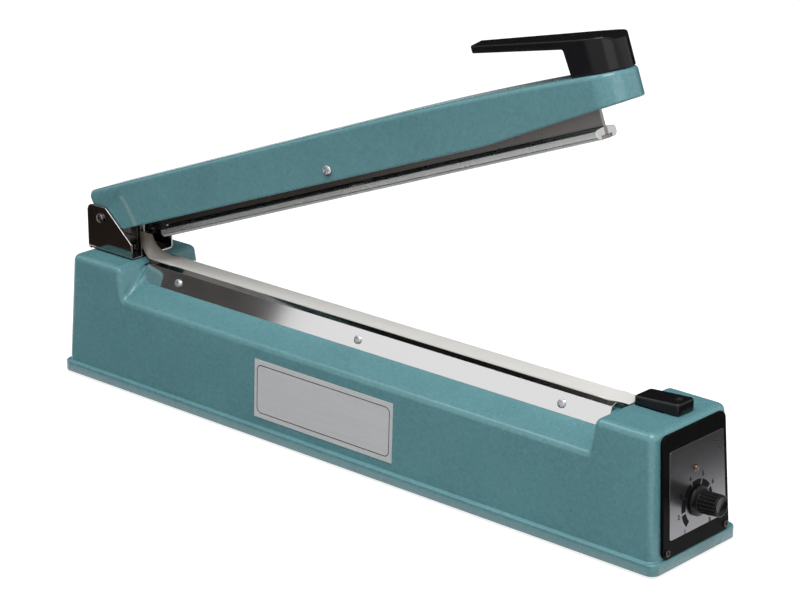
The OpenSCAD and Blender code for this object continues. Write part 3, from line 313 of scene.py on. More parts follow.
@dataclass(frozen=True)
class Enamel:
    """Thick gloss enamel with a hammered skin."""

    name: str
    colour: Colour
    bump_mm: float = 2.2
    depth: float = 0.21
    shades: Point = (0.86, 1.12)
    # Tint and share of the lightened outer edges: a painted edge highlight, with some wear.
    worn_and_lit_tint: Point = (1.25, 0.02)
    worn_and_lit_share: float = 0.25
    gloss: Point = (0.22, 0.32)

    def material(self) -> bpy.types.Material:
        """Return the finish as a material.

        Returns:
            The material.
        """
        box = Paintbox(self.name)
        peel = box.effect(EFFECTS.peel, Scale=1 / (self.bump_mm * MM))
        worn_and_lit = box.effect(EFFECTS.edges, Scale=400.0)["Mask"]
        dark, light = (tinted(self.colour, gain) for gain in self.shades)
        # The outer edges are lightened towards this pale tint: a painted edge highlight, with some wear.
        pale = tinted(self.colour, *self.worn_and_lit_tint)
        tone = box.sheet.mix(box.sheet.spread(peel["Tone"], 0.0, 1.0, 0.3, 0.7), dark, light)
        box.set(Base_Color=box.sheet.mix(box.sheet.math("MULTIPLY", worn_and_lit, self.worn_and_lit_share), tone, pale),
                Roughness=box.cloud(45.0, *self.gloss),
                Specular_IOR_Level=0.42, Coat_Weight=0.12, Coat_Roughness=0.1)
        box.bump(peel["Height"], self.depth, 0.5)
        return box.material


@dataclass(frozen=True)
class Moulded:
    """A moulded plastic or rubber skin."""

    name: str
    colour: Colour
    gloss: Point = (0.2, 0.3)
    bump_mm: float = 0.7
    depth: float = 0.02
    # Share of the lightened outer edges: partly rubbed wear, partly a painted edge highlight.
    worn_and_lit_rub: float = 0.3
    shine: float = 0.5
    light_tint: Point = (1.3, 0.001)
    worn_and_lit_tint: Point = (1.6, 0.02)

    def material(self) -> bpy.types.Material:
        """Return the finish as a material.

        Returns:
            The material.
        """
        box = Paintbox(self.name)
        peel = box.effect(EFFECTS.peel, Scale=1 / (self.bump_mm * MM))
        worn_and_lit = box.effect(EFFECTS.edges, Scale=600.0)["Mask"]
        # The outer edges are lightened towards a paler tint: partly rubbed wear, partly a painted edge
        # highlight.
        light, worn_and_lit_colour = tinted(self.colour, *self.light_tint), tinted(self.colour, *self.worn_and_lit_tint)
        tone = box.sheet.mix(peel["Tone"], self.colour, light)
        box.set(Base_Color=box.sheet.mix(box.sheet.math("MULTIPLY", worn_and_lit, self.worn_and_lit_rub), tone, worn_and_lit_colour),
                Roughness=box.cloud(60.0, *self.gloss),
                Specular_IOR_Level=self.shine)
        box.bump(peel["Height"], self.depth, 0.5)
        return box.material


@dataclass(frozen=True)
class Metal:
    """A bare, plated or polished metal."""

    name: str
    colour: Colour
    gloss: Point = (0.12, 0.25)
    grain: Grain = Grain.NONE
    grain_mm: float = 0.5
    depth: float = 0.01
    bare: float = 1.0
    # The web's painted shade: its half width about the centre plane, its colour, its span along X and its
    # strength along that span.
    web_shade_half: float = 0.0
    web_shade: Colour = (0.062, 0.047, 0.040)
    web_shade_x: Point = (-40.0, 190.0)
    web_shade_share: Point = (0.94, 0.66)
    shades: Point = (0.88, 1.15)
    worn_and_lit_share: float = 0.6

    def material(self) -> bpy.types.Material:
        """Return the finish as a material.

        Returns:
            The material.
        """
        box = Paintbox(self.name)
        grain = box.effect(EFFECTS.grain, Stretch=self.grain.value, Scale=1 / (self.grain_mm * MM))
        worn_and_lit = box.effect(EFFECTS.edges, Scale=500.0)["Mask"]
        dark, bright = (tinted(self.colour, gain) for gain in self.shades)
        tone = box.sheet.mix(box.sheet.spread(grain["Tone"], 0.0, 1.0, 0.3, 0.7), dark, self.colour)
        # Outer edges are lightened towards the bright tint: partly wear, partly a painted edge highlight.
        tone = box.sheet.mix(box.sheet.math("MULTIPLY", worn_and_lit, self.worn_and_lit_share), tone, bright)
        # Painted shade: the web near the centre plane is darkened as if shaded under the arm, more towards -X
        # than towards +X.
        if self.web_shade_half:
            where = box.sheet.add("ShaderNodeSeparateXYZ", {0: box.place}).outputs
            near = box.sheet.math("LESS_THAN", box.sheet.math("ABSOLUTE", where["Y"]), self.web_shade_half * MM)
            share = box.sheet.spread(where["X"], *self.web_shade_share, *(x * MM for x in self.web_shade_x))
            tone = box.sheet.mix(box.sheet.math("MULTIPLY", near, share), tone, self.web_shade)
        box.set(Base_Color=tone, Metallic=self.bare, Roughness=box.cloud(70.0, *self.gloss))
        box.bump(grain["Height"], self.depth, 0.4)
        return box.material


@dataclass(frozen=True)
class GlassCloth:
    """Coated glass cloth with its weave, laid out on the sheet's own map in metres."""

    name: str
    colour: Colour
    # The dark brown of the curled rear end, partly scorch and partly painted shade, and the span along the
    # sheet that it fades over.
    scorched_and_shaded: Colour
    scorched_and_shaded_l: Point
    yarn_mm: float = 0.9
    shades: Point = (0.86, 0.9)
    stain: float = 0.4
    gloss: Point = (0.28, 0.42)

    def material(self) -> bpy.types.Material:
        """Return the finish as a material.

        Returns:
            The material.
        """
        box = Paintbox(self.name, "UV")
        turn = math.tau / (self.yarn_mm * MM) / 20
        yarns = [
            box.sheet.add("ShaderNodeTexWave", {"Vector": box.place, "Scale": turn, "Distortion": 0.6,
                                                "Detail Scale": 2.0}, bands_direction=way).outputs["Fac"]
            for way in ("X", "Y")
        ]
        weave = box.sheet.math("MAXIMUM", *yarns)
        cloud = box.cloud(40.0)
        dark, stained = (tinted(self.colour, gain) for gain in self.shades)
        tone = box.sheet.mix(box.sheet.spread(weave, 0.35, 1.0), dark, self.colour)
        tone = box.sheet.mix(box.sheet.math("MULTIPLY", cloud, self.stain), tone, stained)
        # The curled rear end darkens to brown over its first centimetres: partly scorch, partly painted shade
        # near the hinge.
        along = box.sheet.add("ShaderNodeSeparateXYZ", {0: box.place}).outputs["X"]
        brown = box.sheet.spread(along, 1.0, 0.0, self.scorched_and_shaded_l[0] * MM, self.scorched_and_shaded_l[1] * MM)
        box.set(Base_Color=box.sheet.mix(brown, tone, self.scorched_and_shaded),
                Roughness=box.cloud(90.0, *self.gloss))
        box.bump(weave, 0.05, 0.6)
        return box.material


@dataclass(frozen=True)
class Lens:
    """The tinted lens of a pilot lamp."""

    name: str
    colour: Colour
    shade: float = 0.55

    def material(self) -> bpy.types.Material:
        """Return the finish as a material.

        Returns:
            The material.
        """
        box = Paintbox(self.name)
        cloud = box.cloud(900.0)
        deep = tinted(self.colour, self.shade)
        box.set(Base_Color=box.sheet.mix(cloud, deep, self.colour), Roughness=0.08, IOR=1.5, Coat_Weight=1.0,
                Coat_Roughness=0.03)
        return box.material


class Finish(Enum):
    """Every finish on the sealer."""

    TEAL = Enamel("teal_enamel", (0.103, 0.252, 0.277))
    HANDLE = Moulded("handle_black", (0.005, 0.005, 0.006), (0.16, 0.24), 0.9, 0.012, 0.2, 0.18)
    CAP = Moulded("cap_black", (0.005, 0.005, 0.006), (0.18, 0.28), 0.6, 0.012, 0.2, 0.25)
    BEZEL = Moulded("bezel_black", (0.003, 0.003, 0.0035), (0.30, 0.40), 0.35, 0.012, 0.1, 0.03)
    KNOB = Moulded("knob_black", (0.004, 0.004, 0.004), (0.20, 0.30), 0.5, 0.012, 0.2, 0.18)
    RUBBER = Moulded("rubber_black", (0.018, 0.018, 0.018), (0.6, 0.75), 0.4, 0.03, 0.1)
    SWITCH = Moulded("switch_black", (0.02, 0.02, 0.022), (0.4, 0.5), 0.5, 0.02)
    RED = Moulded("button_red", (0.45, 0.03, 0.02), (0.3, 0.4), 0.5, 0.02)
    NYLON = Moulded("nylon", (0.68, 0.64, 0.55), (0.4, 0.5), 0.5, 0.02)
    SILICONE = Moulded("silicone", (0.40, 0.385, 0.37), (0.5, 0.65), 0.5, 0.02)
    BOARD = Moulded("board_green", (0.04, 0.17, 0.07), (0.3, 0.4), 1.5, 0.01)
    PRINT = Moulded("print_black", (0.006, 0.006, 0.007), (0.4, 0.5), 0.3, 0.005, 0.0, 0.04)
    POLISHED = Metal("polished_steel", (0.74, 0.735, 0.73), (0.12, 0.22), Grain.ALONG_X, 0.8, 0.003)
    CHROME = Metal("chrome", (0.36, 0.34, 0.33), (0.06, 0.12), Grain.NONE, 2.5, 0.004)
    DULL_STEEL = Metal("dull_steel", (0.16, 0.15, 0.145), (0.18, 0.3), Grain.NONE, 0.6, 0.01)
    ZINC = Metal("zinc", (0.55, 0.55, 0.56), (0.22, 0.36), Grain.NONE, 0.6, 0.01)
    DARK_ZINC = Metal("black_zinc", (0.065, 0.055, 0.05), (0.3, 0.42), Grain.NONE, 0.6, 0.01)
    ALUMINIUM = Metal("aluminium", (0.63, 0.625, 0.615), (0.22, 0.36), Grain.ALONG_X, 0.35, 0.012)
    # Its last number sets the half width of the web's painted shade.
    BAR = Metal("bar_aluminium", (0.62, 0.61, 0.60), (0.24, 0.34), Grain.ALONG_X, 0.5, 0.003, 1.0, 1.6)
    DIAL = Metal("dial_aluminium", (0.235, 0.235, 0.248), (0.27, 0.30), Grain.ALONG_Y, 0.22, 0.001)
    LABEL = Metal("label_aluminium", (0.59, 0.595, 0.605), (0.42, 0.52), Grain.ALONG_X, 0.25, 0.004, 0.15)
    ALLOY = Metal("element_alloy", (0.30, 0.28, 0.26), (0.3, 0.4), Grain.ALONG_X, 0.3, 0.01)
    BRASS = Metal("brass", (0.55, 0.40, 0.16), (0.25, 0.4), Grain.NONE, 0.6, 0.01)
    CORE = Metal("core_steel", (0.12, 0.12, 0.13), (0.45, 0.6), Grain.ALONG_X, 0.5, 0.03)
    COPPER = Metal("copper_wire", (0.45, 0.20, 0.09), (0.3, 0.45), Grain.ALONG_Y, 0.6, 0.04)
    CLOTH = GlassCloth("glass_cloth", (0.74, 0.73, 0.70), (0.16, 0.125, 0.10), (4.0, 34.0))
    LAMP = Lens("lamp_red", (0.12, 0.014, 0.006))

    def material(self) -> bpy.types.Material:
        """Return the finish's material, made once."""
        return bpy.data.materials.get(self.value.name) or self.value.material()


# Mesh tools

def joint(name: str) -> dict:
    """Return one joint of the record."""
    return next(j for j in frame["joints"] if j["name"] == name)


def reach(node: str, axis: Vector) -> float:
    """Return how far a node reaches along an axis, in millimetres."""
    return max(v.co @ axis for v in frame["nodes"][node].data.vertices) / MM


def middle_of(node: str) -> Vector:
    """Return the middle of a node's box, in millimetres."""
    low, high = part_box(node)
    return (low + high) / (2 * MM)


def write_mesh(name: str, bm: bmesh.types.BMesh, place: Matrix = TO_METRES) -> bpy.types.Mesh:
    """Turn a bmesh in millimetres into a mesh in metres.

    Args:
        name: The mesh's name.
        bm: The shape, which is freed.
        place: From the shape's own frame to the row's, metres included.

    Returns:
        The mesh, with its faces turned outwards.
    """
    bmesh.ops.recalc_face_normals(bm, faces=bm.faces)
    mesh = bpy.data.meshes.new(name)
    bm.to_mesh(mesh)
    bm.free()
    mesh.transform(place)
    return mesh


def final_mesh(holder: bpy.types.Object) -> bpy.types.Mesh:
    """Return an object's shape as a plain mesh, and remove the object.

    Args:
        holder: The object, with its modifiers live.

    Returns:
        The plain mesh.
    """
    result = bpy.data.meshes.new_from_object(holder.evaluated_get(bpy.context.evaluated_depsgraph_get()))
    bpy.data.objects.remove(holder)
    return result


def evaluated(mesh: bpy.types.Mesh, dress: Callable[[bpy.types.Object], None]) -> bpy.types.Mesh:
    """Return a mesh with modifiers applied.

    Args:
        mesh: The mesh to start from, which is removed.
        dress: Adds the modifiers to an object that holds the mesh.

    Returns:
        A plain mesh of the same name.
    """
    name = mesh.name
    holder = bpy.data.objects.new("holder", mesh)
    bpy.context.scene.collection.objects.link(holder)
    dress(holder)
    result = final_mesh(holder)
    bpy.data.meshes.remove(mesh)
    result.name = name
    return result


def add_bevel(holder: bpy.types.Object, width: float, segments: int, limit: str, angle: float = 30.0) -> None:
    """Round an object's edges.

    Args:
        holder: The object.
        width: Radius in millimetres.
        segments: Steps round an edge.
        limit: WEIGHT for marked edges, ANGLE for sharp ones.
        angle: Least angle of a sharp edge, degrees.
    """
    bevel = holder.modifiers.new("round", "BEVEL")
    bevel.width, bevel.segments, bevel.limit_method = width * MM, segments, limit
    bevel.angle_limit, bevel.use_clamp_overlap, bevel.miter_outer = math.radians(angle), False, "MITER_ARC"


def add_even_normals(holder: bpy.types.Object) -> None:
    """Keep flat faces flat to the eye beside rounded edges.

    Args:
        holder: The object.
    """
    holder.data.shade_smooth()
    weighted = holder.modifiers.new("even", "WEIGHTED_NORMAL")
    weighted.keep_sharp, weighted.weight = False, 100


def merged_copy(node: str) -> bmesh.types.BMesh:
    """Return a copy of a node's solid in metres, its seams closed and its flat faces whole.

    Args:
        node: The node's name.

    Returns:
        The copy.
    """
    bm = bmesh.new()
    bm.from_mesh(frame["nodes"][node].data)
    bmesh.ops.remove_doubles(bm, verts=bm.verts, dist=SEAM)
    bmesh.ops.dissolve_limit(bm, angle_limit=FLAT, verts=bm.verts, edges=bm.edges)
    return bm


def softened(node: str, width: float, segments: int) -> bpy.types.Mesh:
    """Return a copy of a node's solid with its sharp edges rounded.

    Args:
        node: The node's name.
        width: Radius of the edges, millimetres.
        segments: Steps round an edge.

    Returns:
        The rounded mesh.
    """
    mesh = bpy.data.meshes.new(node + "_form")
    bm = merged_copy(node)
    bm.to_mesh(mesh)
    bm.free()

    def dress(holder: bpy.types.Object) -> None:
        """Round the edges, then even the shading."""
        add_bevel(holder, width, segments, "ANGLE")
        add_even_normals(holder)

    return evaluated(mesh, dress)


def turned(name: str, profile: Sequence[Point], place: Matrix, steps: int = 48) -> bpy.types.Mesh:
    """Return a solid of revolution.

    Args:
        name: The mesh's name.
        profile: Radius and height pairs in millimetres, from axis to axis.
        place: From the turning frame, Z up its axis, to the row's.
        steps: Sides round the axis.

    Returns:
        The closed mesh.
    """
    bm = bmesh.new()
    rings = []
    for radius, height in profile:
        if radius == 0:
            rings.append([bm.verts.new((0, 0, height))])
            continue
        angles = [math.tau * k / steps for k in range(steps)]
        rings.append([bm.verts.new((radius * math.cos(a), radius * math.sin(a), height)) for a in angles])
    for low, high in zip(rings, rings[1:]):
        for k in range(steps):
            n = k + 1
            corners = [low[k % len(low)], low[n % len(low)], high[n % len(high)], high[k % len(high)]]
            bm.faces.new(list(dict.fromkeys(corners)))
    return write_mesh(name, bm, place @ TO_METRES)


def arc(centre: Point, radius: float, start: float, end: float, steps: int = 5) -> list[Point]:
    """Return points round an arc, angles in degrees."""
    angles = [math.radians(start + (end - start) * i / steps) for i in range(steps + 1)]
    return [(centre[0] + radius * math.cos(a), centre[1] + radius * math.sin(a)) for a in angles]


def smooth(share: float) -> float:
    """Return a share held between 0 and 1, with an easy start and end."""
    t = min(1.0, max(0.0, share))
    return t * t * (3 - 2 * t)


def bridge(bm: bmesh.types.BMesh, low: Sequence[Vert], high: Sequence[Vert], closed: bool = False) -> None:
    """Fill the strip between two runs of points.

    Args:
        bm: The mesh in the making.
        low: Points of one run.
        high: Points of the other run, as many as in the first.
        closed: Whether the strip goes all the way round.
    """
    for k in range(len(low) if closed else len(low) - 1):
        n = (k + 1) % len(low)
        bm.faces.new((low[k], low[n], high[n], high[k]))


def place_piece(name: str, mesh: bpy.types.Mesh, body: Body, finish: Finish,
                stands_for: Iterable[str] = (), crease: float | None = None) -> bpy.types.Object:
    """Put a finished mesh into the scene as one piece.

    Args:
        name: The piece's name.
        mesh: Its mesh, in the row's frame.
        body: The body that it rides on.
        finish: Its finish.
        stands_for: The nodes that it replaces.
        crease: Least angle of a hard edge, degrees, where the mesh has no shading of its own.

    Returns:
        The piece's object.
    """
    mesh.name = name
    if crease is not None:
        mesh.shade_smooth()
        mesh.set_sharp_from_angle(angle=math.radians(crease))
    mesh.materials.clear()
    mesh.materials.append(finish.material())
    piece = bpy.data.objects.new(name, mesh)
    bpy.context.scene.collection.objects.link(piece)
    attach(piece, body.value)
    if stands_for:
        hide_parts(*stands_for)
    LOG.info("%s: %d faces on %s", name, len(mesh.polygons), body.value)
    return piece


def soft_piece(node: str, body: Body, finish: Finish, width: float, segments: int = 3) -> None:
    """Put a rounded copy of a node in its place."""
    place_piece(node + "_form", softened(node, width, segments), body, finish, [node])


def paint_node(node: str, finish: Finish) -> None:
    """Give a solid that is shown as it is its finish.

    Args:
        node: The node's name.
        finish: Its finish.
    """
    slots = frame["nodes"][node].data.materials
    slots.clear()
    slots.append(finish.material())
    LOG.info("%s: painted", node)


# Repeats

def finished_tree(sheet: NodeSheet, copies: bpy.types.Node, given: bpy.types.NodeOutputs,
                  made: bpy.types.Node) -> bpy.types.NodeTree:
    """End a tree of repeats: its copies are made real and get their material.

    Args:
        sheet: The tree's sheet.
        copies: The node that makes the copies.
        given: The tree's inputs.
        made: The tree's output node.

    Returns:
        The tree.
    """
    real = sheet.add("GeometryNodeRealizeInstances", {"Geometry": copies.outputs[0]})
    dressed = sheet.add("GeometryNodeSetMaterial", {"Geometry": real.outputs[0],
                                                    "Material": given["Material"]})
    sheet.tree.links.new(dressed.outputs[0], made.inputs["Geometry"])
    return sheet.tree


def placing_tree() -> bpy.types.NodeTree:
    """Return a tree that sets a pattern piece on each point, turned to face the point's own direction.

    Returns:
        The tree.
    """
    sheet, given, made = node_group(
        "place_on_points", "GeometryNodeTree",
        {"Points": "NodeSocketGeometry", "Pattern": "NodeSocketObject", "Scale": FLOAT,
         "Material": "NodeSocketMaterial"},
        {"Geometry": "NodeSocketGeometry"})
    facing = sheet.add("GeometryNodeInputNamedAttribute", {"Name": "facing"}, data_type="FLOAT_VECTOR")
    turn = sheet.add("FunctionNodeAlignRotationToVector", {"Vector": facing.outputs[0]}, axis="Z")
    pattern = sheet.add("GeometryNodeObjectInfo", {"Object": given["Pattern"]})
    copies = sheet.add("GeometryNodeInstanceOnPoints", {
        "Points": given["Points"], "Instance": pattern.outputs["Geometry"], "Rotation": turn.outputs[0],
        "Scale": given["Scale"]})
    return finished_tree(sheet, copies, given, made)


def ring_tree() -> bpy.types.NodeTree:
    """Return a tree that repeats a pattern piece round the Z axis, from a start angle in equal steps.

    Returns:
        The tree.
    """
    sheet, given, made = node_group(
        "ring_of_copies", "GeometryNodeTree",
        {"Pattern": "NodeSocketObject", "Count": "NodeSocketInt", "Start": FLOAT, "Step": FLOAT,
         "Material": "NodeSocketMaterial"},
        {"Geometry": "NodeSocketGeometry"})
    points = sheet.add("GeometryNodePoints", {"Count": given["Count"]})
    index = sheet.add("GeometryNodeInputIndex").outputs[0]
    angle = sheet.math("ADD", sheet.math("MULTIPLY", index, given["Step"]), given["Start"])
    euler = sheet.add("ShaderNodeCombineXYZ", {"Z": angle})
    turn = sheet.add("FunctionNodeEulerToRotation", {"Euler": euler.outputs[0]})
    pattern = sheet.add("GeometryNodeObjectInfo", {"Object": given["Pattern"]})
    copies = sheet.add("GeometryNodeInstanceOnPoints", {
        "Points": points.outputs[0], "Instance": pattern.outputs["Geometry"], "Rotation": turn.outputs[0]})
    return finished_tree(sheet, copies, given, made)


PLACING, RING = placing_tree(), ring_tree()


def grown(tree: bpy.types.NodeTree, start: bpy.types.Mesh, pattern: bpy.types.Mesh,
          inputs: dict[str, object]) -> bpy.types.Mesh:
    """Run a tree of repeats.

    Args:
        tree: The tree.
        start: The mesh that the modifier sits on.
        pattern: The piece that is repeated, which is removed afterwards.
        inputs: The tree's other inputs by name.

    Returns:
        One plain mesh of all the copies.
    """
    pattern_holder = bpy.data.objects.new("pattern", pattern)

    def dress(holder: bpy.types.Object) -> None:
        """Set the tree first, so that its inputs exist, then their values.

        Args:
            holder: The object that holds the mesh.
        """
        repeats = holder.modifiers.new("repeats", "NODES")
        repeats.node_group = tree
        names = {item.name: item.identifier for item in tree.interface.items_tree if item.in_out == "INPUT"}
        repeats[names["Pattern"]] = pattern_holder
        for key, value in inputs.items():
            repeats[names[key]] = value

    result = evaluated(start, dress)
    bpy.data.objects.remove(pattern_holder)
    bpy.data.meshes.remove(pattern)
    return result


@dataclass(frozen=True)
class ScrewKind:
    """A domed screw with a crossed recess: the head sits on z = 0, and the shank goes below.

    The rim, the recess, its slots and its place are shares of the head's size.
    """

    head_d: float
    head_t: float
    shank_d: float
    shank_l: float
    edge: float = 0.3
    rim: float = 0.55
    recess: float = 0.62
    slot: float = 0.17
    recess_at: float = 0.92
    recess_edge: float = 0.06
    recess_angle: float = 40.0
    dome_step: float = 10.0
    dome_steps: int = 8
    round_steps: int = 40

    def pattern(self) -> bpy.types.Mesh:
        """Return one screw's mesh, in metres.

        Returns:
            The mesh, about the seat's middle.
        """
        r, t, shank = self.head_d / 2, self.head_t, self.shank_d / 2
        dome = [(r * math.cos(a), t * self.rim + t * (1 - self.rim) * math.sin(a)) for a in
                (math.radians(self.dome_step * k) for k in range(1, self.dome_steps + 1))]
        profile = [(0, -self.shank_l), (shank - self.edge, -self.shank_l), (shank, self.edge - self.shank_l),
                   (shank, 0), (r - self.edge / 2, 0), (r, self.edge / 2), (r, t * self.rim), *dome, (0, t)]
        body = turned("screw", profile, Matrix.Identity(4), self.round_steps)
        cutter = bmesh.new()
        for size in ((self.recess, self.slot), (self.slot, self.recess)):
            block = bmesh.ops.create_cube(cutter, size=1.0)["verts"]
            bmesh.ops.scale(cutter, verts=block, vec=(size[0] * self.head_d, size[1] * self.head_d, t))
            bmesh.ops.translate(cutter, verts=block, vec=(0, 0, t * self.recess_at))
        cross = bpy.data.objects.new("cross", write_mesh("cross", cutter))
        bpy.context.scene.collection.objects.link(cross)

        def dress(holder: bpy.types.Object) -> None:
            """Cut the cross, then ease its edges.

            Args:
                holder: The object that holds the mesh.
            """
            cut = holder.modifiers.new("cross", "BOOLEAN")
            cut.operation, cut.object, cut.solver, cut.use_self = "DIFFERENCE", cross, "EXACT", True
            add_bevel(holder, self.recess_edge, 1, "ANGLE", self.recess_angle)

        result = evaluated(body, dress)
        bpy.data.objects.remove(cross)
        return result


def loose_parts(node: str) -> list[list[Vector]]:
    """Return the corner points of each separate solid in a node, in metres.

    Args:
        node: The node's name.

    Returns:
        One list of points for each solid.
    """
    bm = merged_copy(node)
    left, parts = set(bm.verts), []
    while left:
        queue = [left.pop()]
        part = []
        while queue:
            vert = queue.pop()
            part.append(vert.co.copy())
            near = {edge.other_vert(vert) for edge in vert.link_edges} & left
            left -= near
            queue.extend(near)
        parts.append(part)
    bm.free()
    return parts


def screws(node: str, kind: ScrewKind, axis: Vector, body: Body, finish: Finish,
           mirrored: bool = False) -> None:
    """Put a screw on each seat of a node of screws.

    Args:
        node: The node of screws that the piece stands for.
        kind: Their form.
        axis: The way that their heads face; with mirrored, that of the ones at the front.
        body: The body that they ride on.
        finish: Their finish.
        mirrored: Whether the ones behind the centre line face the other way across it.
    """
    points = bpy.data.meshes.new(node + "_seats")
    seats, ways = [], []
    for part in loose_parts(node):
        middle = sum(part, Vector()) / len(part)
        way = Vector((axis.x, -axis.y, axis.z)) if mirrored and middle.y > 0 else axis
        top = max(co @ way for co in part)
        crown = [co for co in part if top - co @ way < SAME_LEVEL]
        seats.append(sum(crown, Vector()) / len(crown) - way * kind.head_t * MM)
        ways.append(way)
    points.from_pydata(seats, [], [])
    facing = points.attributes.new("facing", "FLOAT_VECTOR", "POINT")
    facing.data.foreach_set("vector", [c for way in ways for c in way])
    mesh = grown(PLACING, points, kind.pattern(), {"Scale": 1.0, "Material": finish.material()})
    place_piece(node + "_set", mesh, body, finish, [node], crease=35.0)


# Sub-assemblies

@dataclass
class Housing:
    """The painted base with its two end blocks and the ridge of the jaw."""

    foot_h: float = 2.0
    flange_h: float = 7.5
    flange_r: float = 6.0
    lip: float = 2.4
    block_h: float = 87.4
    shoulder_h: float = 64.0
    side_draft: float = 2.2
    end_draft: float = 3.4
    well_rear_x: float = -204.0
    well_front_x: float = 210.0
    rear_lean: float = 6.0
    front_lean: float = 3.0
    corner_lean: float = 3.5
    gusset: Point = (3.0, -4.0)
    corner_r: float = 6.0
    corner_steps: int = 6
    ridge: tuple[Point, ...] = ((17.6, 73.2), (16.1, 73.2), (13.0, 83.0))
    wall: float = 3.0
    flange_edge: float = 1.2
    flange_fillet: float = 0.8
    block_edge: float = 4.5
    shoulder_edge: float = 3.0
    valley_fillet: float = 1.2
    hole_d: float = 10.0
    grommet_d: float = 12.0
    drill_l: float = 18.0
    hole_steps: int = 48
    edge_steps: int = 5

    def __post_init__(self) -> None:
        """Read the outer size from the solid."""
        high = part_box("base_housing")[1]
        self.half_x, self.half_y = high.x / MM, high.y / MM

    def wall_x(self, h: float) -> float:
        """Return the distance of the end walls from the middle at a height."""
        return self.half_x - self.lip - (h - self.flange_h) * math.tan(math.radians(self.end_draft))

    def wall_y(self, h: float) -> float:
        """Return the distance of the long walls from the centre line at a height."""
        return self.half_y - self.lip - (h - self.flange_h) * math.tan(math.radians(self.side_draft))

    def loop(self, bm: bmesh.types.BMesh, half: Point, radius: float, h: float) -> list[list[Vert]]:
        """Return the four rounded corners of a level outline, each a run of points, from +X -Y round.

        Args:
            bm: The mesh in the making.
            half: Half the outline's length and width.
            radius: Of its corners.
            h: Its height over the feet.

        Returns:
            The corners' points.
        """
        corners = []
        for sx, sy, start in ((1, -1, -90), (1, 1, 0), (-1, 1, 90), (-1, -1, 180)):
            centre = (sx * (half[0] - radius), sy * (half[1] - radius))
            points = arc(centre, radius, start, start + 90, self.corner_steps)
            corners.append([bm.verts.new((x, y, h + self.foot_h)) for x, y in points])
        return corners

    def skin(self) -> bpy.types.Mesh:
        """Return the outer skin, open below, with the rounding of each edge marked on it.

        Returns:
            The mesh, in the row's frame.
        """
        bm = bmesh.new()
        weight = bm.edges.layers.float.new("bevel_weight_edge")
        rings = [self.loop(bm, (self.half_x, self.half_y), self.flange_r, h) for h in (0.0, self.flange_h)]
        rings += [self.loop(bm, (self.wall_x(h), self.wall_y(h)), self.corner_r, h)
                  for h in (self.flange_h, self.block_h)]
        rounds: list[tuple[Vert, Vert, float]] = []

        def mark(run: Sequence[Vert], radius: float) -> None:
            """Note the radius of the edges along a run of points."""
            rounds.extend((a, b, radius) for a, b in zip(run, run[1:]))

        flat = [[v for corner in ring for v in corner] for ring in rings]
        for low, high in zip(flat[:2], flat[1:3]):
            bridge(bm, low, high, closed=True)
        mark([*flat[1], flat[1][0]], self.flange_edge)
        mark([*flat[2], flat[2][0]], self.flange_fillet)
        foot, crown = rings[2], rings[3]
        for low, high in zip(foot, crown):
            bridge(bm, low, high)

        depth = self.block_h - self.shoulder_h
        profile = [(self.wall_y(self.shoulder_h), self.shoulder_h), *self.ridge]
        x_low, foot_in, head_in = self.well_rear_x, *self.gusset
        tops = [bm.verts.new((x_low - lean, y, self.block_h + self.foot_h)) for y, lean in (
            (-self.wall_y(self.block_h), self.corner_lean), (-self.ridge[-1][0], self.rear_lean),
            (self.ridge[-1][0], self.rear_lean), (self.wall_y(self.block_h), self.corner_lean))]
        lines = [[bm.verts.new((x_low + dx, s * y, h + self.foot_h))
                  for (y, h), dx in zip(profile, (0.0, foot_in, foot_in, head_in))] for s in (-1, 1)]
        bm.faces.new((tops[1], tops[2], lines[1][-1], lines[0][-1]))
        mark(tops, self.block_edge)
        for (outer, inner), line in zip((tops[:2], tops[:1:-1]), lines):
            bm.faces.new((outer, line[0], line[-1], inner))
            bm.faces.new(line)
            mark((outer, line[0]), self.block_edge)
            mark((line[0], line[-1]), self.valley_fillet)
            mark(line[:2], self.valley_fillet)
        rear_tops, rear_lines = tops, lines

        tops = [bm.verts.new((self.well_front_x + self.front_lean, s * self.wall_y(self.block_h),
                              self.block_h + self.foot_h)) for s in (-1, 1)]
        lines = [[bm.verts.new((self.well_front_x + self.front_lean * (h - self.shoulder_h) / depth, s * y,
                                h + self.foot_h)) for y, h in profile] for s in (-1, 1)]
        bm.faces.new((*tops, *lines[1], *reversed(lines[0])))
        mark(tops, self.block_edge)
        for top, line in zip(tops, lines):
            mark((top, line[0]), self.block_edge)
            mark(line[:2], self.valley_fillet)
        front_tops, front_lines = tops, lines
        for rear, front in zip(rear_lines, front_lines):
            for k in range(len(rear) - 1):
                bm.faces.new((rear[k], front[k], front[k + 1], rear[k + 1]))
            mark((rear[0], front[0]), self.shoulder_edge)
        bm.faces.new((rear_lines[0][-1], front_lines[0][-1], front_lines[1][-1], rear_lines[1][-1]))

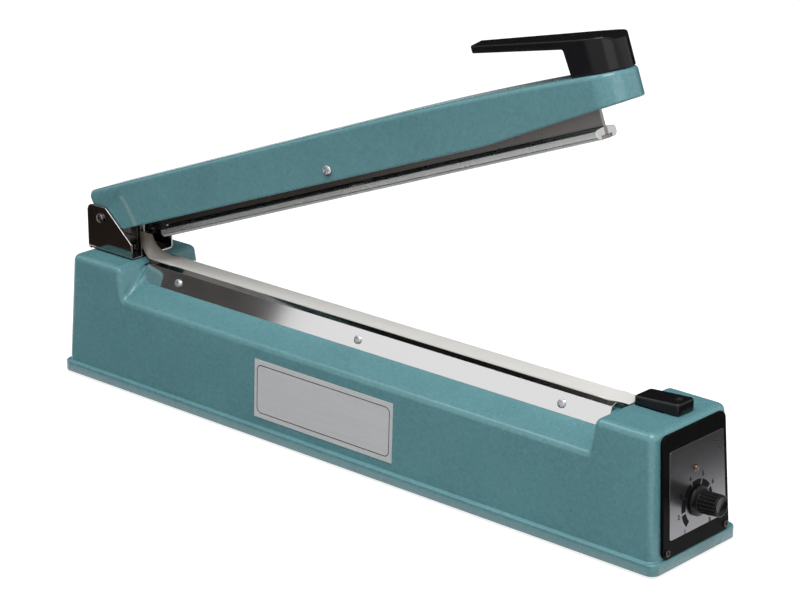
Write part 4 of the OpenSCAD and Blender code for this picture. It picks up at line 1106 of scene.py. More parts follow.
        right_front, right_back, left_back, left_front = range(4)
        bm.faces.new((foot[right_front][-1], foot[right_back][0], crown[right_back][0],
                      crown[right_front][-1]))
        bm.faces.new((foot[left_back][-1], foot[left_front][0], crown[left_front][0], crown[left_back][-1]))
        bm.faces.new((foot[right_back][-1], foot[left_back][0], crown[left_back][0], rear_tops[-1],
                      rear_lines[1][0], front_lines[1][0], front_tops[1], crown[right_back][-1]))
        bm.faces.new((foot[left_front][-1], foot[right_front][0], crown[right_front][0], front_tops[0],
                      front_lines[0][0], rear_lines[0][0], rear_tops[0], crown[left_front][-1]))
        rear_crown = [*crown[left_back], *crown[left_front]]
        front_crown = [*crown[right_front], *crown[right_back]]
        bm.faces.new((*rear_crown, *rear_tops))
        bm.faces.new((*front_crown, *reversed(front_tops)))
        mark([rear_tops[-1], *rear_crown, rear_tops[0]], self.block_edge)
        mark([front_tops[0], *front_crown, front_tops[1]], self.block_edge)
        widest = max(radius for _, _, radius in rounds)
        for first, second, radius in rounds:
            bm.edges.get((first, second))[weight] = radius / widest
        self.widest = widest
        return write_mesh("housing_skin", bm)

    def cutter(self) -> bpy.types.Object:
        """Return an object that cuts the holes for the rod's bush and the grommet.

        Returns:
            The object.
        """
        bm = bmesh.new()
        rod, grommet = middle_of("return_rod"), middle_of("cable_grommet")
        along = Matrix.Rotation(math.radians(90), 4, "Y")
        spots = ((Vector((rod.x, 0, self.block_h)), Matrix.Identity(4), self.hole_d),
                 (Vector((-self.half_x, 0, grommet.z)), along, self.grommet_d))
        for spot, turn, diameter in spots:
            bmesh.ops.create_cone(bm, cap_ends=True, segments=self.hole_steps, radius1=diameter / 2,
                                  radius2=diameter / 2, depth=self.drill_l,
                                  matrix=Matrix.Translation(spot) @ turn)
        cutter = bpy.data.objects.new("holes", write_mesh("holes", bm))
        bpy.context.scene.collection.objects.link(cutter)
        return cutter

    def build(self) -> None:
        """Round the skin, give it its wall, cut its holes and put it in place with what it carries."""
        skin, cutter = self.skin(), self.cutter()

        def dress(holder: bpy.types.Object) -> None:
            """Round, thicken and drill.

            Args:
                holder: The object that holds the mesh.
            """
            add_bevel(holder, self.widest, self.edge_steps, "WEIGHT")
            shell = holder.modifiers.new("wall", "SOLIDIFY")
            shell.thickness, shell.offset = self.wall * MM, -1.0
            holes = holder.modifiers.new("holes", "BOOLEAN")
            holes.operation, holes.object, holes.solver = "DIFFERENCE", cutter, "EXACT"
            add_even_normals(holder)

        place_piece("housing", evaluated(skin, dress), Body.BASE, Finish.TEAL, ["base_housing"])
        bpy.data.objects.remove(cutter)
        soft_piece("rubber_feet", Body.BASE, Finish.RUBBER, 0.4)
        soft_piece("cable_grommet", Body.BASE, Finish.RUBBER, 0.6)
        soft_piece("bottom_plate", Body.BASE, Finish.ZINC, 0.2, 2)
        screws("bottom_screws", ScrewKind(5.0, 1.4, 2.6, 5.5), Vector((0, 0, -1)), Body.BASE,
               Finish.ZINC)


@dataclass
class RatingPlate:
    """The bare plate on the front wall, with a plain printed border."""

    side_draft: float = Housing.side_draft
    border_in: Point = (2.4, 3.4)
    border_r: float = 4.0
    border_w: float = 0.55
    border_steps: int = 6
    print_t: float = 0.03

    def build(self) -> None:
        """Put the plate and its border in place."""
        soft_piece("rating_plate", Body.BASE, Finish.LABEL, 0.1, 2)
        low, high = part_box("rating_plate")
        lean = math.radians(self.side_draft)
        out = Vector((0, -math.cos(lean), math.sin(lean)))
        middle = (low + high) / (2 * MM)
        middle += out * (reach("rating_plate", out) + self.print_t - middle @ out)
        up = Vector((0, math.sin(lean), math.cos(lean)))
        place = Matrix((Vector((1, 0, 0)), up, out)).transposed().to_4x4()
        place.translation = middle * MM
        half = ((high.x - low.x) / (2 * MM) - self.border_in[0],
                (high.z - low.z) / (2 * MM * math.cos(lean)) - self.border_in[1])
        bm = bmesh.new()
        loops = []
        for inset in (0.0, self.border_w):
            points = [point for sx, sy, start in ((1, 1, 0), (-1, 1, 90), (-1, -1, 180), (1, -1, 270))
                      for point in arc((sx * (half[0] - self.border_r), sy * (half[1] - self.border_r)),
                                       self.border_r - inset, start, start + 90, self.border_steps)]
            loops.append([bm.verts.new((x, y, 0)) for x, y in points])
        bridge(bm, *loops, closed=True)
        border = print_sheet("plate_border", bm, place, self.print_t)
        place_piece("plate_border", border, Body.BASE, Finish.PRINT, crease=30.0)


def print_sheet(name: str, bm: bmesh.types.BMesh, place: Matrix, thickness: float) -> bpy.types.Mesh:
    """Return flat printed shapes with the small thickness of their ink.

    Args:
        name: The mesh's name.
        bm: The flat shapes, at z = 0 with their faces up.
        place: From the print's frame to the row's.
        thickness: Of the ink, which goes below z = 0.

    Returns:
        The closed mesh.
    """
    made = bmesh.ops.extrude_face_region(bm, geom=bm.faces[:])
    verts = [item for item in made["geom"] if isinstance(item, Vert)]
    bmesh.ops.translate(bm, verts=verts, vec=(0, 0, -thickness))
    return write_mesh(name, bm, place @ TO_METRES)


@dataclass
class ControlPanel:
    """The black bezel on the end wall, with the dial plate, its printed scale, the lamp and the knob."""

    scale_in: float = 11.8
    scale_out: float = 15.9
    scale_sweep: float = 276.0
    scale_down: float = 2.3
    scale_left: float = 0.8
    marks: int = 8
    mark_gap: float = 1.6
    segment_steps: int = 8
    number_r: float = 18.9
    number_h: float = 4.3
    number_bold: float = 0.11
    seam: float = 0.0001
    print_t: float = 0.04
    knob_d: float = 14.0
    knob_taper: float = 0.8
    skirt_d: float = 19.4
    skirt_t: float = 3.4
    knob_l: float = 17.0
    knob_hollow: float = 3.2
    hollow_d: float = 12.2
    ribs: int = 18
    rib_d: float = 1.3
    rib_sink: float = 0.1
    rib_lift: float = 0.2
    knob_edge: float = 0.3
    skirt_rim: float = 1.0
    skirt_r: float = 0.8
    skirt_fall: float = 0.5
    waist_r: float = 0.6
    waist_lift: float = 0.1
    cap_under: Point = (1.6, 1.2)
    cap_r: float = 0.7
    cap_in: float = 0.9
    dish_in: Point = (2.0, 2.4)
    lamp_d: float = 4.4
    lamp_l: float = 4.0
    lens_d: float = 3.4
    lens_h: float = 1.4
    lens_lift: float = 0.1
    knob_steps: int = 72
    rib_steps: int = 10
    lens_steps: int = 32

    def __post_init__(self) -> None:
        """Read the panel's frame from the knob's joint: x down, y to the right, z out of the wall."""
        turn = joint("timer_turn")
        self.out = Vector(turn["axis"]).normalized()
        across = Vector((0, 1, 0))
        self.place = Matrix((across.cross(self.out), across, self.out)).transposed().to_4x4()
        self.place.translation = Vector(turn["pos_m"])
        wall = self.out @ self.place.translation / MM
        self.dial_z = reach("dial_plate", self.out) - wall
        self.knob_z = min(v.co @ self.out for v in frame["nodes"]["timer_knob"].data.vertices) / MM - wall
        self.lamp_z = reach("pilot_lamp", self.out) - wall
        low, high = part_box("pilot_lamp")
        self.lamp_at = self.place.inverted() @ ((low + high) / 2) / MM

    def lifted(self, z: float) -> Matrix:
        """Return the panel's frame raised to a height over the wall."""
        return self.place @ Matrix.Translation((0, 0, z * MM))

    def printed(self, z: float) -> Matrix:
        """Return the frame of the dial's print, whose middle lies a little off the knob's axis."""
        return self.lifted(z) @ Matrix.Translation((self.scale_down * MM, -self.scale_left * MM, 0))

    def segment(self) -> bpy.types.Mesh:
        """Return one printed segment of the scale, lying from angle zero on.

        Returns:
            The mesh, in the scale's own frame.
        """
        step = self.scale_sweep / (self.marks - 1)
        gap = math.degrees(self.mark_gap / 2 / self.scale_out)
        bm = bmesh.new()
        rows = [arc((0, 0), r, gap, step - gap, self.segment_steps) for r in (self.scale_in, self.scale_out)]
        inner, outer = [[bm.verts.new((x, y, 0)) for x, y in row] for row in rows]
        for k in range(len(inner) - 1):
            bm.faces.new((inner[k], outer[k], outer[k + 1], inner[k + 1]))
        return print_sheet("segment", bm, Matrix.Identity(4), self.print_t)

    def numbers(self) -> bpy.types.Mesh:
        """Return the numbers round the scale as one mesh.

        Returns:
            The mesh, in the row's frame.
        """
        bm = bmesh.new()
        start = math.radians(-self.scale_sweep / 2)
        for k in range(self.marks):
            angle = start + math.radians(self.scale_sweep) * k / (self.marks - 1)
            text = bpy.data.curves.new("number", "FONT")
            text.body, text.size, text.align_x, text.align_y = str(k + 1), self.number_h, "CENTER", "CENTER"
            text.extrude, text.offset = self.print_t / 2, self.number_bold
            holder = bpy.data.objects.new("number", text)
            bpy.context.scene.collection.objects.link(holder)
            flat = final_mesh(holder)
            spot = Vector((-self.number_r * math.cos(angle), self.number_r * math.sin(angle), 0))
            flat.transform(Matrix.Translation(spot) @ Matrix.Rotation(math.radians(90), 4, "Z"))
            bm.from_mesh(flat)
            bpy.data.meshes.remove(flat)
        bmesh.ops.remove_doubles(bm, verts=bm.verts, dist=self.seam)
        return write_mesh("numbers", bm, self.printed(self.dial_z + self.print_t / 2) @ TO_METRES)

    def build_knob(self) -> None:
        """Make the knob's turned body and the ribs round it."""
        r, foot, core = self.knob_d / 2, self.skirt_d / 2, (self.knob_d - self.rib_d) / 2
        hollow, waist = self.hollow_d / 2, core + self.knob_taper / 2
        edge, rim, top = self.knob_edge, self.skirt_rim, self.knob_l
        below = [(0, self.knob_hollow), (hollow, self.knob_hollow), (hollow, edge), (hollow + edge, 0)]
        skirt = [(foot - edge, 0), (foot, edge), (foot, rim),
                 *arc((foot - self.skirt_r, rim), self.skirt_r, 0, 70),
                 (waist + self.skirt_r, self.skirt_t - self.skirt_fall),
                 *arc((waist + self.waist_r, self.skirt_t + self.waist_lift), self.waist_r, 270, 180, 4)]
        cap = [(core, top - self.cap_under[0]), (r - edge, top - self.cap_under[1]),
               *arc((r - self.cap_in, top - self.cap_r), self.cap_r, 10, 90), (r - self.dish_in[0], top),
               (r - self.dish_in[1], top - edge), (0, top - edge)]
        profile = [*below, *skirt, *cap]
        body = turned("knob", profile, self.lifted(self.knob_z), self.knob_steps)
        place_piece("knob", body, Body.KNOB, Finish.KNOB, ["timer_knob"], crease=50.0)
        lean = math.atan(self.knob_taper / 2 / (self.knob_l - self.skirt_t))
        length = top - self.skirt_t - self.cap_under[1]
        spot = (Matrix.Translation(((waist - self.rib_sink) * MM, 0, (self.skirt_t + self.rib_lift) * MM))
                @ Matrix.Rotation(-lean, 4, "Y"))
        half = self.rib_d / 2
        rib_profile = [(0, 0), (half, 0), (half, length - half), *arc((0, length - half), half, 15, 75, 4),
                       (0, length)]
        rib = turned("rib", rib_profile, spot, self.rib_steps)
        ribs = grown(RING, bpy.data.meshes.new("ribs"), rib, {
            "Count": self.ribs, "Start": 0.0, "Step": math.tau / self.ribs,
            "Material": Finish.KNOB.material()})
        ribs.transform(self.lifted(self.knob_z))
        place_piece("knob_ribs", ribs, Body.KNOB, Finish.KNOB, crease=40.0)

    def build(self) -> None:
        """Put the panel's pieces in place."""
        soft_piece("control_bezel", Body.BASE, Finish.BEZEL, 0.5)
        soft_piece("dial_plate", Body.BASE, Finish.DIAL, 0.15, 2)
        screws("bezel_screws", ScrewKind(4.4, 1.2, 3.0, 6.0), self.out, Body.BASE,
               Finish.DARK_ZINC)
        step = math.radians(self.scale_sweep / (self.marks - 1))
        scale = grown(RING, bpy.data.meshes.new("scale"), self.segment(), {
            "Count": self.marks - 1, "Start": math.pi - math.radians(self.scale_sweep / 2), "Step": step,
            "Material": Finish.PRINT.material()})
        scale.transform(self.printed(self.dial_z + self.print_t))
        place_piece("dial_scale", scale, Body.BASE, Finish.PRINT, crease=30.0)
        place_piece("dial_numbers", self.numbers(), Body.BASE, Finish.PRINT, crease=30.0)
        r, lens = self.lamp_d / 2, self.lens_d / 2
        dome = [(lens * math.cos(a), self.lamp_z - self.lens_h + self.lens_h * math.sin(a)) for a in
                (math.radians(15 * k) for k in range(6))]
        at = self.place @ Matrix.Translation((self.lamp_at.x * MM, self.lamp_at.y * MM, 0))
        profile = [(0, -self.lamp_l), (r, -self.lamp_l), (r, self.dial_z),
                   (lens, self.dial_z + self.lens_lift), *dome, (0, self.lamp_z)]
        lamp = turned("pilot_lens", profile, at, self.lens_steps)
        place_piece("pilot_lens", lamp, Body.BASE, Finish.LAMP, ["pilot_lamp"], crease=40.0)
        self.build_knob()


@dataclass
class Jaw:
    """The heated jaw: bar, element, cloth, clamp plates and the terminal cap."""

    plate_lean: float = 17.9
    flat_half: float = 8.0
    drop: float = 3.0
    top_z: float = 90.1
    drop_end_x: float = 200.0
    curl_turn: float = 76.0
    curl_foot: Point = (-205.0, -194.5)
    curl_top: Point = (107.2, 102.6)
    curl_x: float = -213.2
    curl_narrow: Point = (0.62, -1.0)
    cloth_t: float = 0.22
    tube_r: float = 7.2
    tube_run: float = 3.0
    drop_start_x: float = -187.0
    narrow_x: float = 203.0
    narrow_half: float = 6.2
    narrow_l: float = 8.0
    drop_fade: Point = (7.0, 8.0)
    side_ease: float = 0.35
    swell_h: float = 0.05
    swell_l: Point = (17.0, 6.0)
    roll_lead: float = 0.4
    along_steps: int = 240
    curl_steps: int = 22
    drop_steps: int = 4
    flat_steps: int = 10

    def spine(self, share: float = 0.5) -> list[tuple[float, float, float, float]]:
        """Return a line along the cloth from its loose rear end on: length along it, X, Z and angle of rise.

        Args:
            share: Where across the cloth the line lies, from 0 at the near edge to 1 at the far one.

        Returns:
            The line's points.
        """
        front_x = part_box("nonstick_cloth")[1].x / MM
        foot = self.curl_foot[0] + (self.curl_foot[1] - self.curl_foot[0]) * share
        top = self.curl_top[0] + (self.curl_top[1] - self.curl_top[0]) * share
        turn = math.radians(self.curl_turn)
        long, high = (foot - self.curl_x) / math.sin(turn), (top - self.top_z) / (1 - math.cos(turn))
        line = []
        for i in range(self.curl_steps + 1):
            a = turn * (1 - i / self.curl_steps)
            rise = math.atan2(high * math.sin(a), long * math.cos(a))
            line.append((foot - long * math.sin(a), self.top_z + high * (1 - math.cos(a)), rise))
        line += [(foot + (front_x - foot) * i / self.along_steps, self.top_z, 0.0)
                 for i in range(1, self.along_steps + 1)]
        length, rows = 0.0, []
        for k, (x, z, rise) in enumerate(line):
            length += math.dist((x, z), line[k - 1][:2]) if k else 0.0
            rows.append((length, x, z, rise))
        return rows

    def hang(self, x: float) -> float:
        """Return how much of the cloth hangs down beside the bar at a place along it."""
        start, end = (x - self.drop_start_x) / self.drop_fade[0], (self.drop_end_x - x) / self.drop_fade[1]
        return self.drop * smooth(end) * smooth(start)

    def cloth(self) -> None:
        half = self.flat_half + self.drop
        steps = 2 * (self.flat_steps + self.drop_steps)
        across = [half * (2 * k / steps - 1) for k in range(steps + 1)]
        bm = bmesh.new()
        chart = bm.loops.layers.uv.new("weave")
        grid = []
        middle = self.spine()
        spines = [self.spine(min(1.0, max(0.0, (v / self.flat_half + 1) / 2))) for v in across]
        rolled_l = middle[self.curl_steps][0]
        squeeze, shift = self.curl_narrow
        for row, (length, *_) in enumerate(middle):
            roll = smooth((rolled_l + self.tube_run - length) / (rolled_l + self.roll_lead * self.tube_run))
            line = []
            for v, spine in zip(across, spines):
                _, x, z, rise = spine[row]
                share = self.hang(x) / self.drop
                tight = min(1.0, max(0.0, (x - self.narrow_x) / self.narrow_l))
                over = max(0.0, abs(v) - self.flat_half)
                side = math.copysign(min(abs(v), self.flat_half) + over * (1 - share) * self.side_ease, v)
                side *= 1 - tight * (1 - self.narrow_half / self.flat_half)
                swell = self.swell_h * math.sin(length / self.swell_l[0]) * math.cos(v / self.swell_l[1])
                deep = over * share - swell
                side += roll * (self.tube_r * math.sin(v / self.tube_r) - side)
                deep += roll * (self.tube_r * (1 - math.cos(v / self.tube_r)) - deep)
                loose = max(0.0, 1 - length / rolled_l)
                side = side * (1 - (1 - squeeze) * loose) + shift * loose
                spot = (x - deep * math.sin(rise), side, z - deep * math.cos(rise))
                line.append((bm.verts.new(spot), length, v))
            grid.append(line)
        for low, high in zip(grid, grid[1:]):
            for k in range(len(low) - 1):
                corners = (low[k], high[k], high[k + 1], low[k + 1])
                face = bm.faces.new([c[0] for c in corners])
                for loop, corner in zip(face.loops, corners):
                    loop[chart].uv = (corner[1] * MM, corner[2] * MM)
        mesh = write_mesh("cloth", bm)

        def dress(holder: bpy.types.Object) -> None:
            """Give the sheet its thickness."""
            solid = holder.modifiers.new("thickness", "SOLIDIFY")
            solid.thickness, solid.offset = self.cloth_t * MM, 0.0

        piece = place_piece("cloth_cover", evaluated(mesh, dress), Body.BASE, Finish.CLOTH,
                            ["nonstick_cloth"], crease=60.0)

    def build(self) -> None:
        """Put the jaw's pieces in place."""
        soft_piece("jaw_bar", Body.BASE, Finish.ALUMINIUM, 0.4)
        self.cloth()
        for node in ("front_clamp_plate", "rear_clamp_plate"):
            soft_piece(node, Body.BASE, Finish.POLISHED, 0.25)
        lean = math.radians(self.plate_lean)
        out = Vector((0, -math.cos(lean), math.sin(lean)))
        screws("plate_screws", ScrewKind(5.6, 1.6, 3.0, 6.0), out, Body.BASE, Finish.ZINC,
               mirrored=True)
        soft_piece("terminal_cap", Body.BASE, Finish.CAP, 1.7, 6)
        screws("cap_screw", ScrewKind(4.4, 1.4, 3.0, 11.0), Vector((0, 0, 1)), Body.BASE,
               Finish.DARK_ZINC)
        for node in ("front_terminal", "rear_terminal"):
            soft_piece(node, Body.BASE, Finish.BRASS, 0.3, 2)
        paint_node("insulating_strip", Finish.NYLON)
        paint_node("heating_element", Finish.ALLOY)


@dataclass
class PressArm:
    """The hinged arm: a painted channel with a rounded nose, with its handle, hinge and pivot."""

    length: float = 483.0
    half: float = 19.0
    wall: float = 2.2
    top: float = 20.5
    low: float = -11.5
    fall: float = 6.3
    fall_l: float = 203.0
    rise: float = 7.1
    rise_l: float = 126.0
    knee: float = 30.0
    nose_r: float = 17.0
    tail: float = 6.0
    tail_half: float = 17.8
    tail_l: float = 8.8
    tail_round: Point = (2.0, 3.0)
    edge: float = 3.0
    edge_steps: int = 6
    lip: float = 0.6
    wall_steps: int = 40
    fine_step: float = 0.75
    fine_steps: int = 68
    side_steps: int = 48
    nose_steps: int = 16
    pocket_end: float = 30.1
    pocket_lean: float = 0.281
    pocket_soft: float = 9.0
    pocket_top: float = 17.0
    pocket_fade: float = 10.0

    def __post_init__(self) -> None:
        """Read the arm's frame from the hinge: u along the arm, w up."""
        hinge = joint("arm_hinge")
        self.place = Matrix.Translation(hinge["pos_m"]) @ Matrix.Rotation(
            -math.radians(hinge["range_deg"][1]), 4, "Y")

    def top_at(self, u: float) -> float:
        """Return the height of the arm's top along it.

        Args:
            u: The place along the arm, millimetres.

        Returns:
            The height over the hinge pin.
        """
        drop = self.fall * (max(0.0, u - self.length + self.fall_l) / self.fall_l) ** 2
        back = max(0.0, 1 - (u + self.tail) / self.tail_round[0])
        return self.top - drop - self.tail_round[0] * back * back

    def low_at(self, u: float) -> float:
        """Return the height of the arm's lower edge along it.

        Args:
            u: The place along the arm, millimetres.

        Returns:
            The height over the hinge pin.
        """
        run = max(0.0, u - self.length + self.rise_l)
        bent = run * run / (2 * self.knee) if run < self.knee else run - self.knee / 2
        lift = self.rise / (self.rise_l - self.knee / 2) * bent
        back = max(0.0, 1 - (u + self.tail) / self.tail_round[1])
        return self.low + lift + self.tail_round[1] * back * back

    def pocket_depth(self, u: float, w: float) -> float:
        """Return how deep the side is pressed in, to clear the hinge ears.

        Args:
            u: The place along the arm, millimetres.
            w: The height over the hinge pin.

        Returns:
            The depth in millimetres.
        """
        ahead = smooth(0.5 + (self.pocket_end - self.pocket_lean * w - u) / self.pocket_soft)
        below = smooth((self.pocket_top - w) / self.pocket_fade)
        return (self.half - self.tail_half) * ahead * below

    def stations(self) -> list[float]:
        """Return the places along the straight sides, close together at the tail.

        Returns:
            The places, from the tail on.
        """
        fine = [-self.tail + self.fine_step * i for i in range(self.fine_steps)]
        start, end = fine[-1], self.length - self.nose_r
        return fine + [start + (end - start) * i / self.side_steps for i in range(1, self.side_steps + 1)]

    def outline(self, inset: float) -> list[Point]:
        """Return one half of the arm's plan, drawn in by an inset, from the tail to the nose.

        Args:
            inset: How far it is drawn in.

        Returns:
            Pairs of place and half width.
        """
        side = [(u, self.half - inset) for u in self.stations()]
        centre = (self.length - self.nose_r, self.half - self.nose_r)
        nose = arc(centre, self.nose_r - inset, 90, 0, self.nose_steps)
        return side + nose[1:]

    def shell(self) -> bpy.types.Mesh:
        """Return the painted channel.

        Returns:
            The mesh, in the row's frame.
        """
        bm = bmesh.new()
        rows: list[tuple[float, Height]] = [(self.lip, self.low_at)]
        for k in range(self.wall_steps + 1):
            share = k / self.wall_steps
            rows.append((0.0, lambda u, s=share: (self.low_at(u) + self.lip) * (1 - s) + (
                self.top_at(u) - self.edge) * s))
        for k in range(1, self.edge_steps + 1):
            a = math.radians(90 * k / self.edge_steps)
            rows.append((self.edge * (1 - math.cos(a)),
                         lambda u, s=math.sin(a): self.top_at(u) - self.edge * (1 - s)))

        def line(inset: float, height: Height, side: int, inner: bool) -> list[Vert]:
            """Return the points of one level line along one side.

            Args:
                inset: How far it is drawn in.
                height: Its height along the arm.
                side: 1 for the far side, -1 for the near one.
                inner: Whether it is on the inner wall.

            Returns:
                The points, from the tail on.
            """
            verts = []
            for u, y in self.outline(inset):
                w = height(u)
                y -= self.pocket_depth(u, 0.0 if inner else w)
                if inner and u < self.tail_l:
                    u += self.wall * (1 - (u + self.tail) / (self.tail_l + self.tail))
                verts.append(bm.verts.new((u, side * y, w)))
            return verts

        sides = []
        for side in (-1, 1):
            outer = [line(inset, height, side, False) for inset, height in rows]
            inner = [line(self.wall, height, side, True) for height in (
                self.low_at, lambda u: self.top_at(u) - self.wall)]
            sides.append([inner[1], inner[0], *outer])
        for rings in sides:
            for low, high in zip(rings, rings[1:]):
                bridge(bm, low, high)
        left, right = sides
        for level in (0, -1):
            bridge(bm, left[level], right[level])
        for end in (0, -1):
            bridge(bm, [row[end] for row in left], [row[end] for row in right])
        return write_mesh("arm_shell", bm, self.place @ TO_METRES)

    def build(self) -> None:
        """Put the arm's pieces in place."""
        mesh = evaluated(self.shell(), add_even_normals)
        place_piece("arm_shell", mesh, Body.ARM, Finish.TEAL, ["press_arm"])
        Handle(self).build()
        front = Vector((0, -1, 0))
        down = self.place.to_3x3() @ Vector((0, 0, -1))
        screws("handle_screws", ScrewKind(7.0, 2.2, 4.0, 14.0), down, Body.ARM, Finish.ZINC)
        screws("pivot_screw", ScrewKind(7.2, 2.0, 5.0, 43.0), front, Body.ARM, Finish.ZINC)
        soft_piece("pivot_nut", Body.ARM, Finish.ZINC, 0.4)
        soft_piece("strike_plate", Body.ARM, Finish.DULL_STEEL, 0.4)
        for node in ("hinge_bushes", "pivot_spacers"):
            paint_node(node, Finish.NYLON)


@dataclass
class Handle:
    """The moulded handle on the nose: a post, and a flat grip that reaches back over the arm."""

    arm: PressArm
    post_l: float = 31.0
    rise: float = 20.5
    thick: float = 5.75
    thin: float = 0.75
    reach_back: float = 112.0
    slope: float = 8.1
    half: float = 17.5
    end_half: float = 12.0
    skew: float = 11.5
    sink: float = 0.3
    post_lean: float = 1.0
    nose_in: float = 0.4
    nose_r: float = 15.5
    nose_drop: float = 5.4
    edge: float = 1.2
    end_edge: float = 0.7
    edge_share: Point = (0.45, 0.9)
    fillet: float = 3.0
    skew_end: float = 10.0
    edge_steps: int = 5
    grip_steps: int = 12
    post_steps: int = 4
    nose_steps: int = 14

    def __post_init__(self) -> None:
        """Work out where the grip ends and the post begins."""
        self.free = self.arm.length - self.reach_back
        self.post = self.arm.length - self.post_l
        self.fall = math.tan(math.radians(self.slope))

    def top(self, u: float) -> float:
        """Return the height of the handle's top along the arm.

        Args:
            u: The place along the arm, millimetres.

        Returns:
            The height over the hinge pin.
        """
        end = self.arm.length - self.nose_in
        past = min(self.nose_drop, max(0.0, u - end + self.nose_drop))
        drop = self.nose_drop - math.sqrt(self.nose_drop ** 2 - past ** 2)
        return self.arm.top - self.arm.fall + self.rise + (self.arm.length - u) * self.fall - drop

    def under(self, u: float) -> float:
        """Return the height of the grip's underside along the arm."""
        return self.top(u) - self.thick + self.thin * (self.post - u) / (self.post - self.free)

    def width(self, u: float) -> float:
        """Return half the width of the grip along the arm."""
        share = min(1.0, (u - self.free) / (self.post - self.free))
        return self.end_half + (self.half - self.end_half) * share

    def stations(self) -> list[tuple[float, float, float, float]]:
        """Return the sections from the free end to the nose: place, lower and upper height, half width.

        Returns:
            The sections.
        """
        rows = []
        start, end = self.free + self.end_edge, self.post - self.fillet
        for x, shrink in arc((start, self.end_edge), self.end_edge, 180, 270, self.edge_steps):
            rows.append((x, self.under(x) + shrink, self.top(x) - shrink, self.width(x) - shrink))
        rows += [(u, self.under(u), self.top(u), self.width(u)) for u in
                 (start + (end - start) * i / self.grip_steps for i in range(1, self.grip_steps + 1))]
        low = self.under(end) - self.fillet
        rows += [(u, w, self.top(u), self.width(u)) for u, w in
                 arc((end, low), self.fillet, 90, 0, self.edge_steps)[1:]]
        centre = self.arm.length - self.nose_r - self.nose_in
        first = self.post + self.post_lean
        straight = [first + (centre - first) * i / self.post_steps for i in range(self.post_steps + 1)]
        rows += [(u, self.arm.top_at(u) - self.sink, self.top(u), self.half) for u in straight]
        for u, y in arc((centre, self.half - self.nose_r), self.nose_r, 90, 0, self.nose_steps)[1:]:
            rows.append((u, self.arm.top_at(u) - self.sink, self.top(u), y))
        return rows

    def section(self, low: float, high: float, half: float) -> list[Point]:
        """Return one cross-section's rounded outline as Y and height pairs.

        Args:
            low: Its lower height.
            high: Its upper height.
            half: Half its width.

        Returns:
            The outline's points.
        """
        r = min(self.edge, self.edge_share[0] * (high - low), self.edge_share[1] * half)
        corners = ((half - r, low + r, -90), (half - r, high - r, 0), (r - half, high - r, 90),
                   (r - half, low + r, 180))
        return [point for y, w, start in corners
                for point in arc((y, w), r, start, start + 90, self.edge_steps)]

    def build(self) -> None:
        """Put the handle in place."""
        bm = bmesh.new()
        rings = []
        for u, low, high, half in self.stations():
            fade = max(0.0, 1 - (u - self.free) / (self.post - self.skew_end - self.free))
            ring = []
            for y, w in self.section(low, high, half):
                shift = y * fade * self.skew / (2 * self.end_half)
                ring.append(bm.verts.new((u - shift, y, w + shift * self.fall)))
            rings.append(ring)
        for first, second in zip(rings, rings[1:]):
            bridge(bm, first, second, closed=True)
        for end in (rings[0], rings[-1]):
            bm.faces.new(end)
        mesh = evaluated(write_mesh("handle_form", bm, self.arm.place @ TO_METRES), add_even_normals)
        place_piece("handle_form", mesh, Body.ARM, Finish.HANDLE, ["handle"])


@dataclass
class Hinge:
    """The chrome bracket on the rear block with its pin."""

    bracket_edge: float = 0.45

    def build(self) -> None:
        """Put the hinge's pieces in place."""
        soft_piece("hinge_bracket", Body.BASE, Finish.CHROME, self.bracket_edge)
        screws("hinge_pin", ScrewKind(6.6, 2.2, 5.0, 46.0), Vector((0, -1, 0)), Body.BASE,
               Finish.DULL_STEEL)
        soft_piece("hinge_nut", Body.BASE, Finish.ZINC, 0.4)
        screws("bracket_screws", ScrewKind(7.4, 2.4, 4.0, 8.6), Vector((0, 0, 1)), Body.BASE,
               Finish.DULL_STEEL)


@dataclass
class PressBar:
    """The floating aluminium bar with its silicone strip."""

    edge: float = 0.4

    def build(self) -> None:
        """Put the bar and its strip in place."""
        soft_piece("press_bar", Body.BAR, Finish.BAR, self.edge)
        soft_piece("silicone_strip", Body.BAR, Finish.SILICONE, self.edge)


@dataclass
class InnerWorks:
    """What the base holds inside: solids shown as they are, and the return spring."""

    finishes: tuple[tuple[str, Finish], ...] = (
        ("potentiometer", Finish.ZINC), ("potentiometer_nut", Finish.ZINC),
        ("potentiometer_shaft", Finish.ZINC),
        ("timer_board", Finish.BOARD), ("board_posts", Finish.NYLON), ("transformer_core", Finish.CORE),
        ("transformer_coil", Finish.COPPER), ("micro_switch", Finish.SWITCH), ("switch_bracket", Finish.ZINC),
        ("rod_bush", Finish.NYLON), ("return_rod", Finish.DULL_STEEL), ("switch_button", Finish.RED),
    )
    spring_crease: float = 40.0

    def build(self) -> None:
        """Paint each solid, and put a copy of the return spring in its place."""
        for node, finish in self.finishes:
            paint_node(node, finish)
        coil = write_mesh("return_spring_form", merged_copy("return_spring"), Matrix())
        spring = place_piece("return_spring_form", coil, Body.BASE, Finish.ZINC,
                             ["return_spring"], self.spring_crease)
        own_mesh(spring)


# Studio

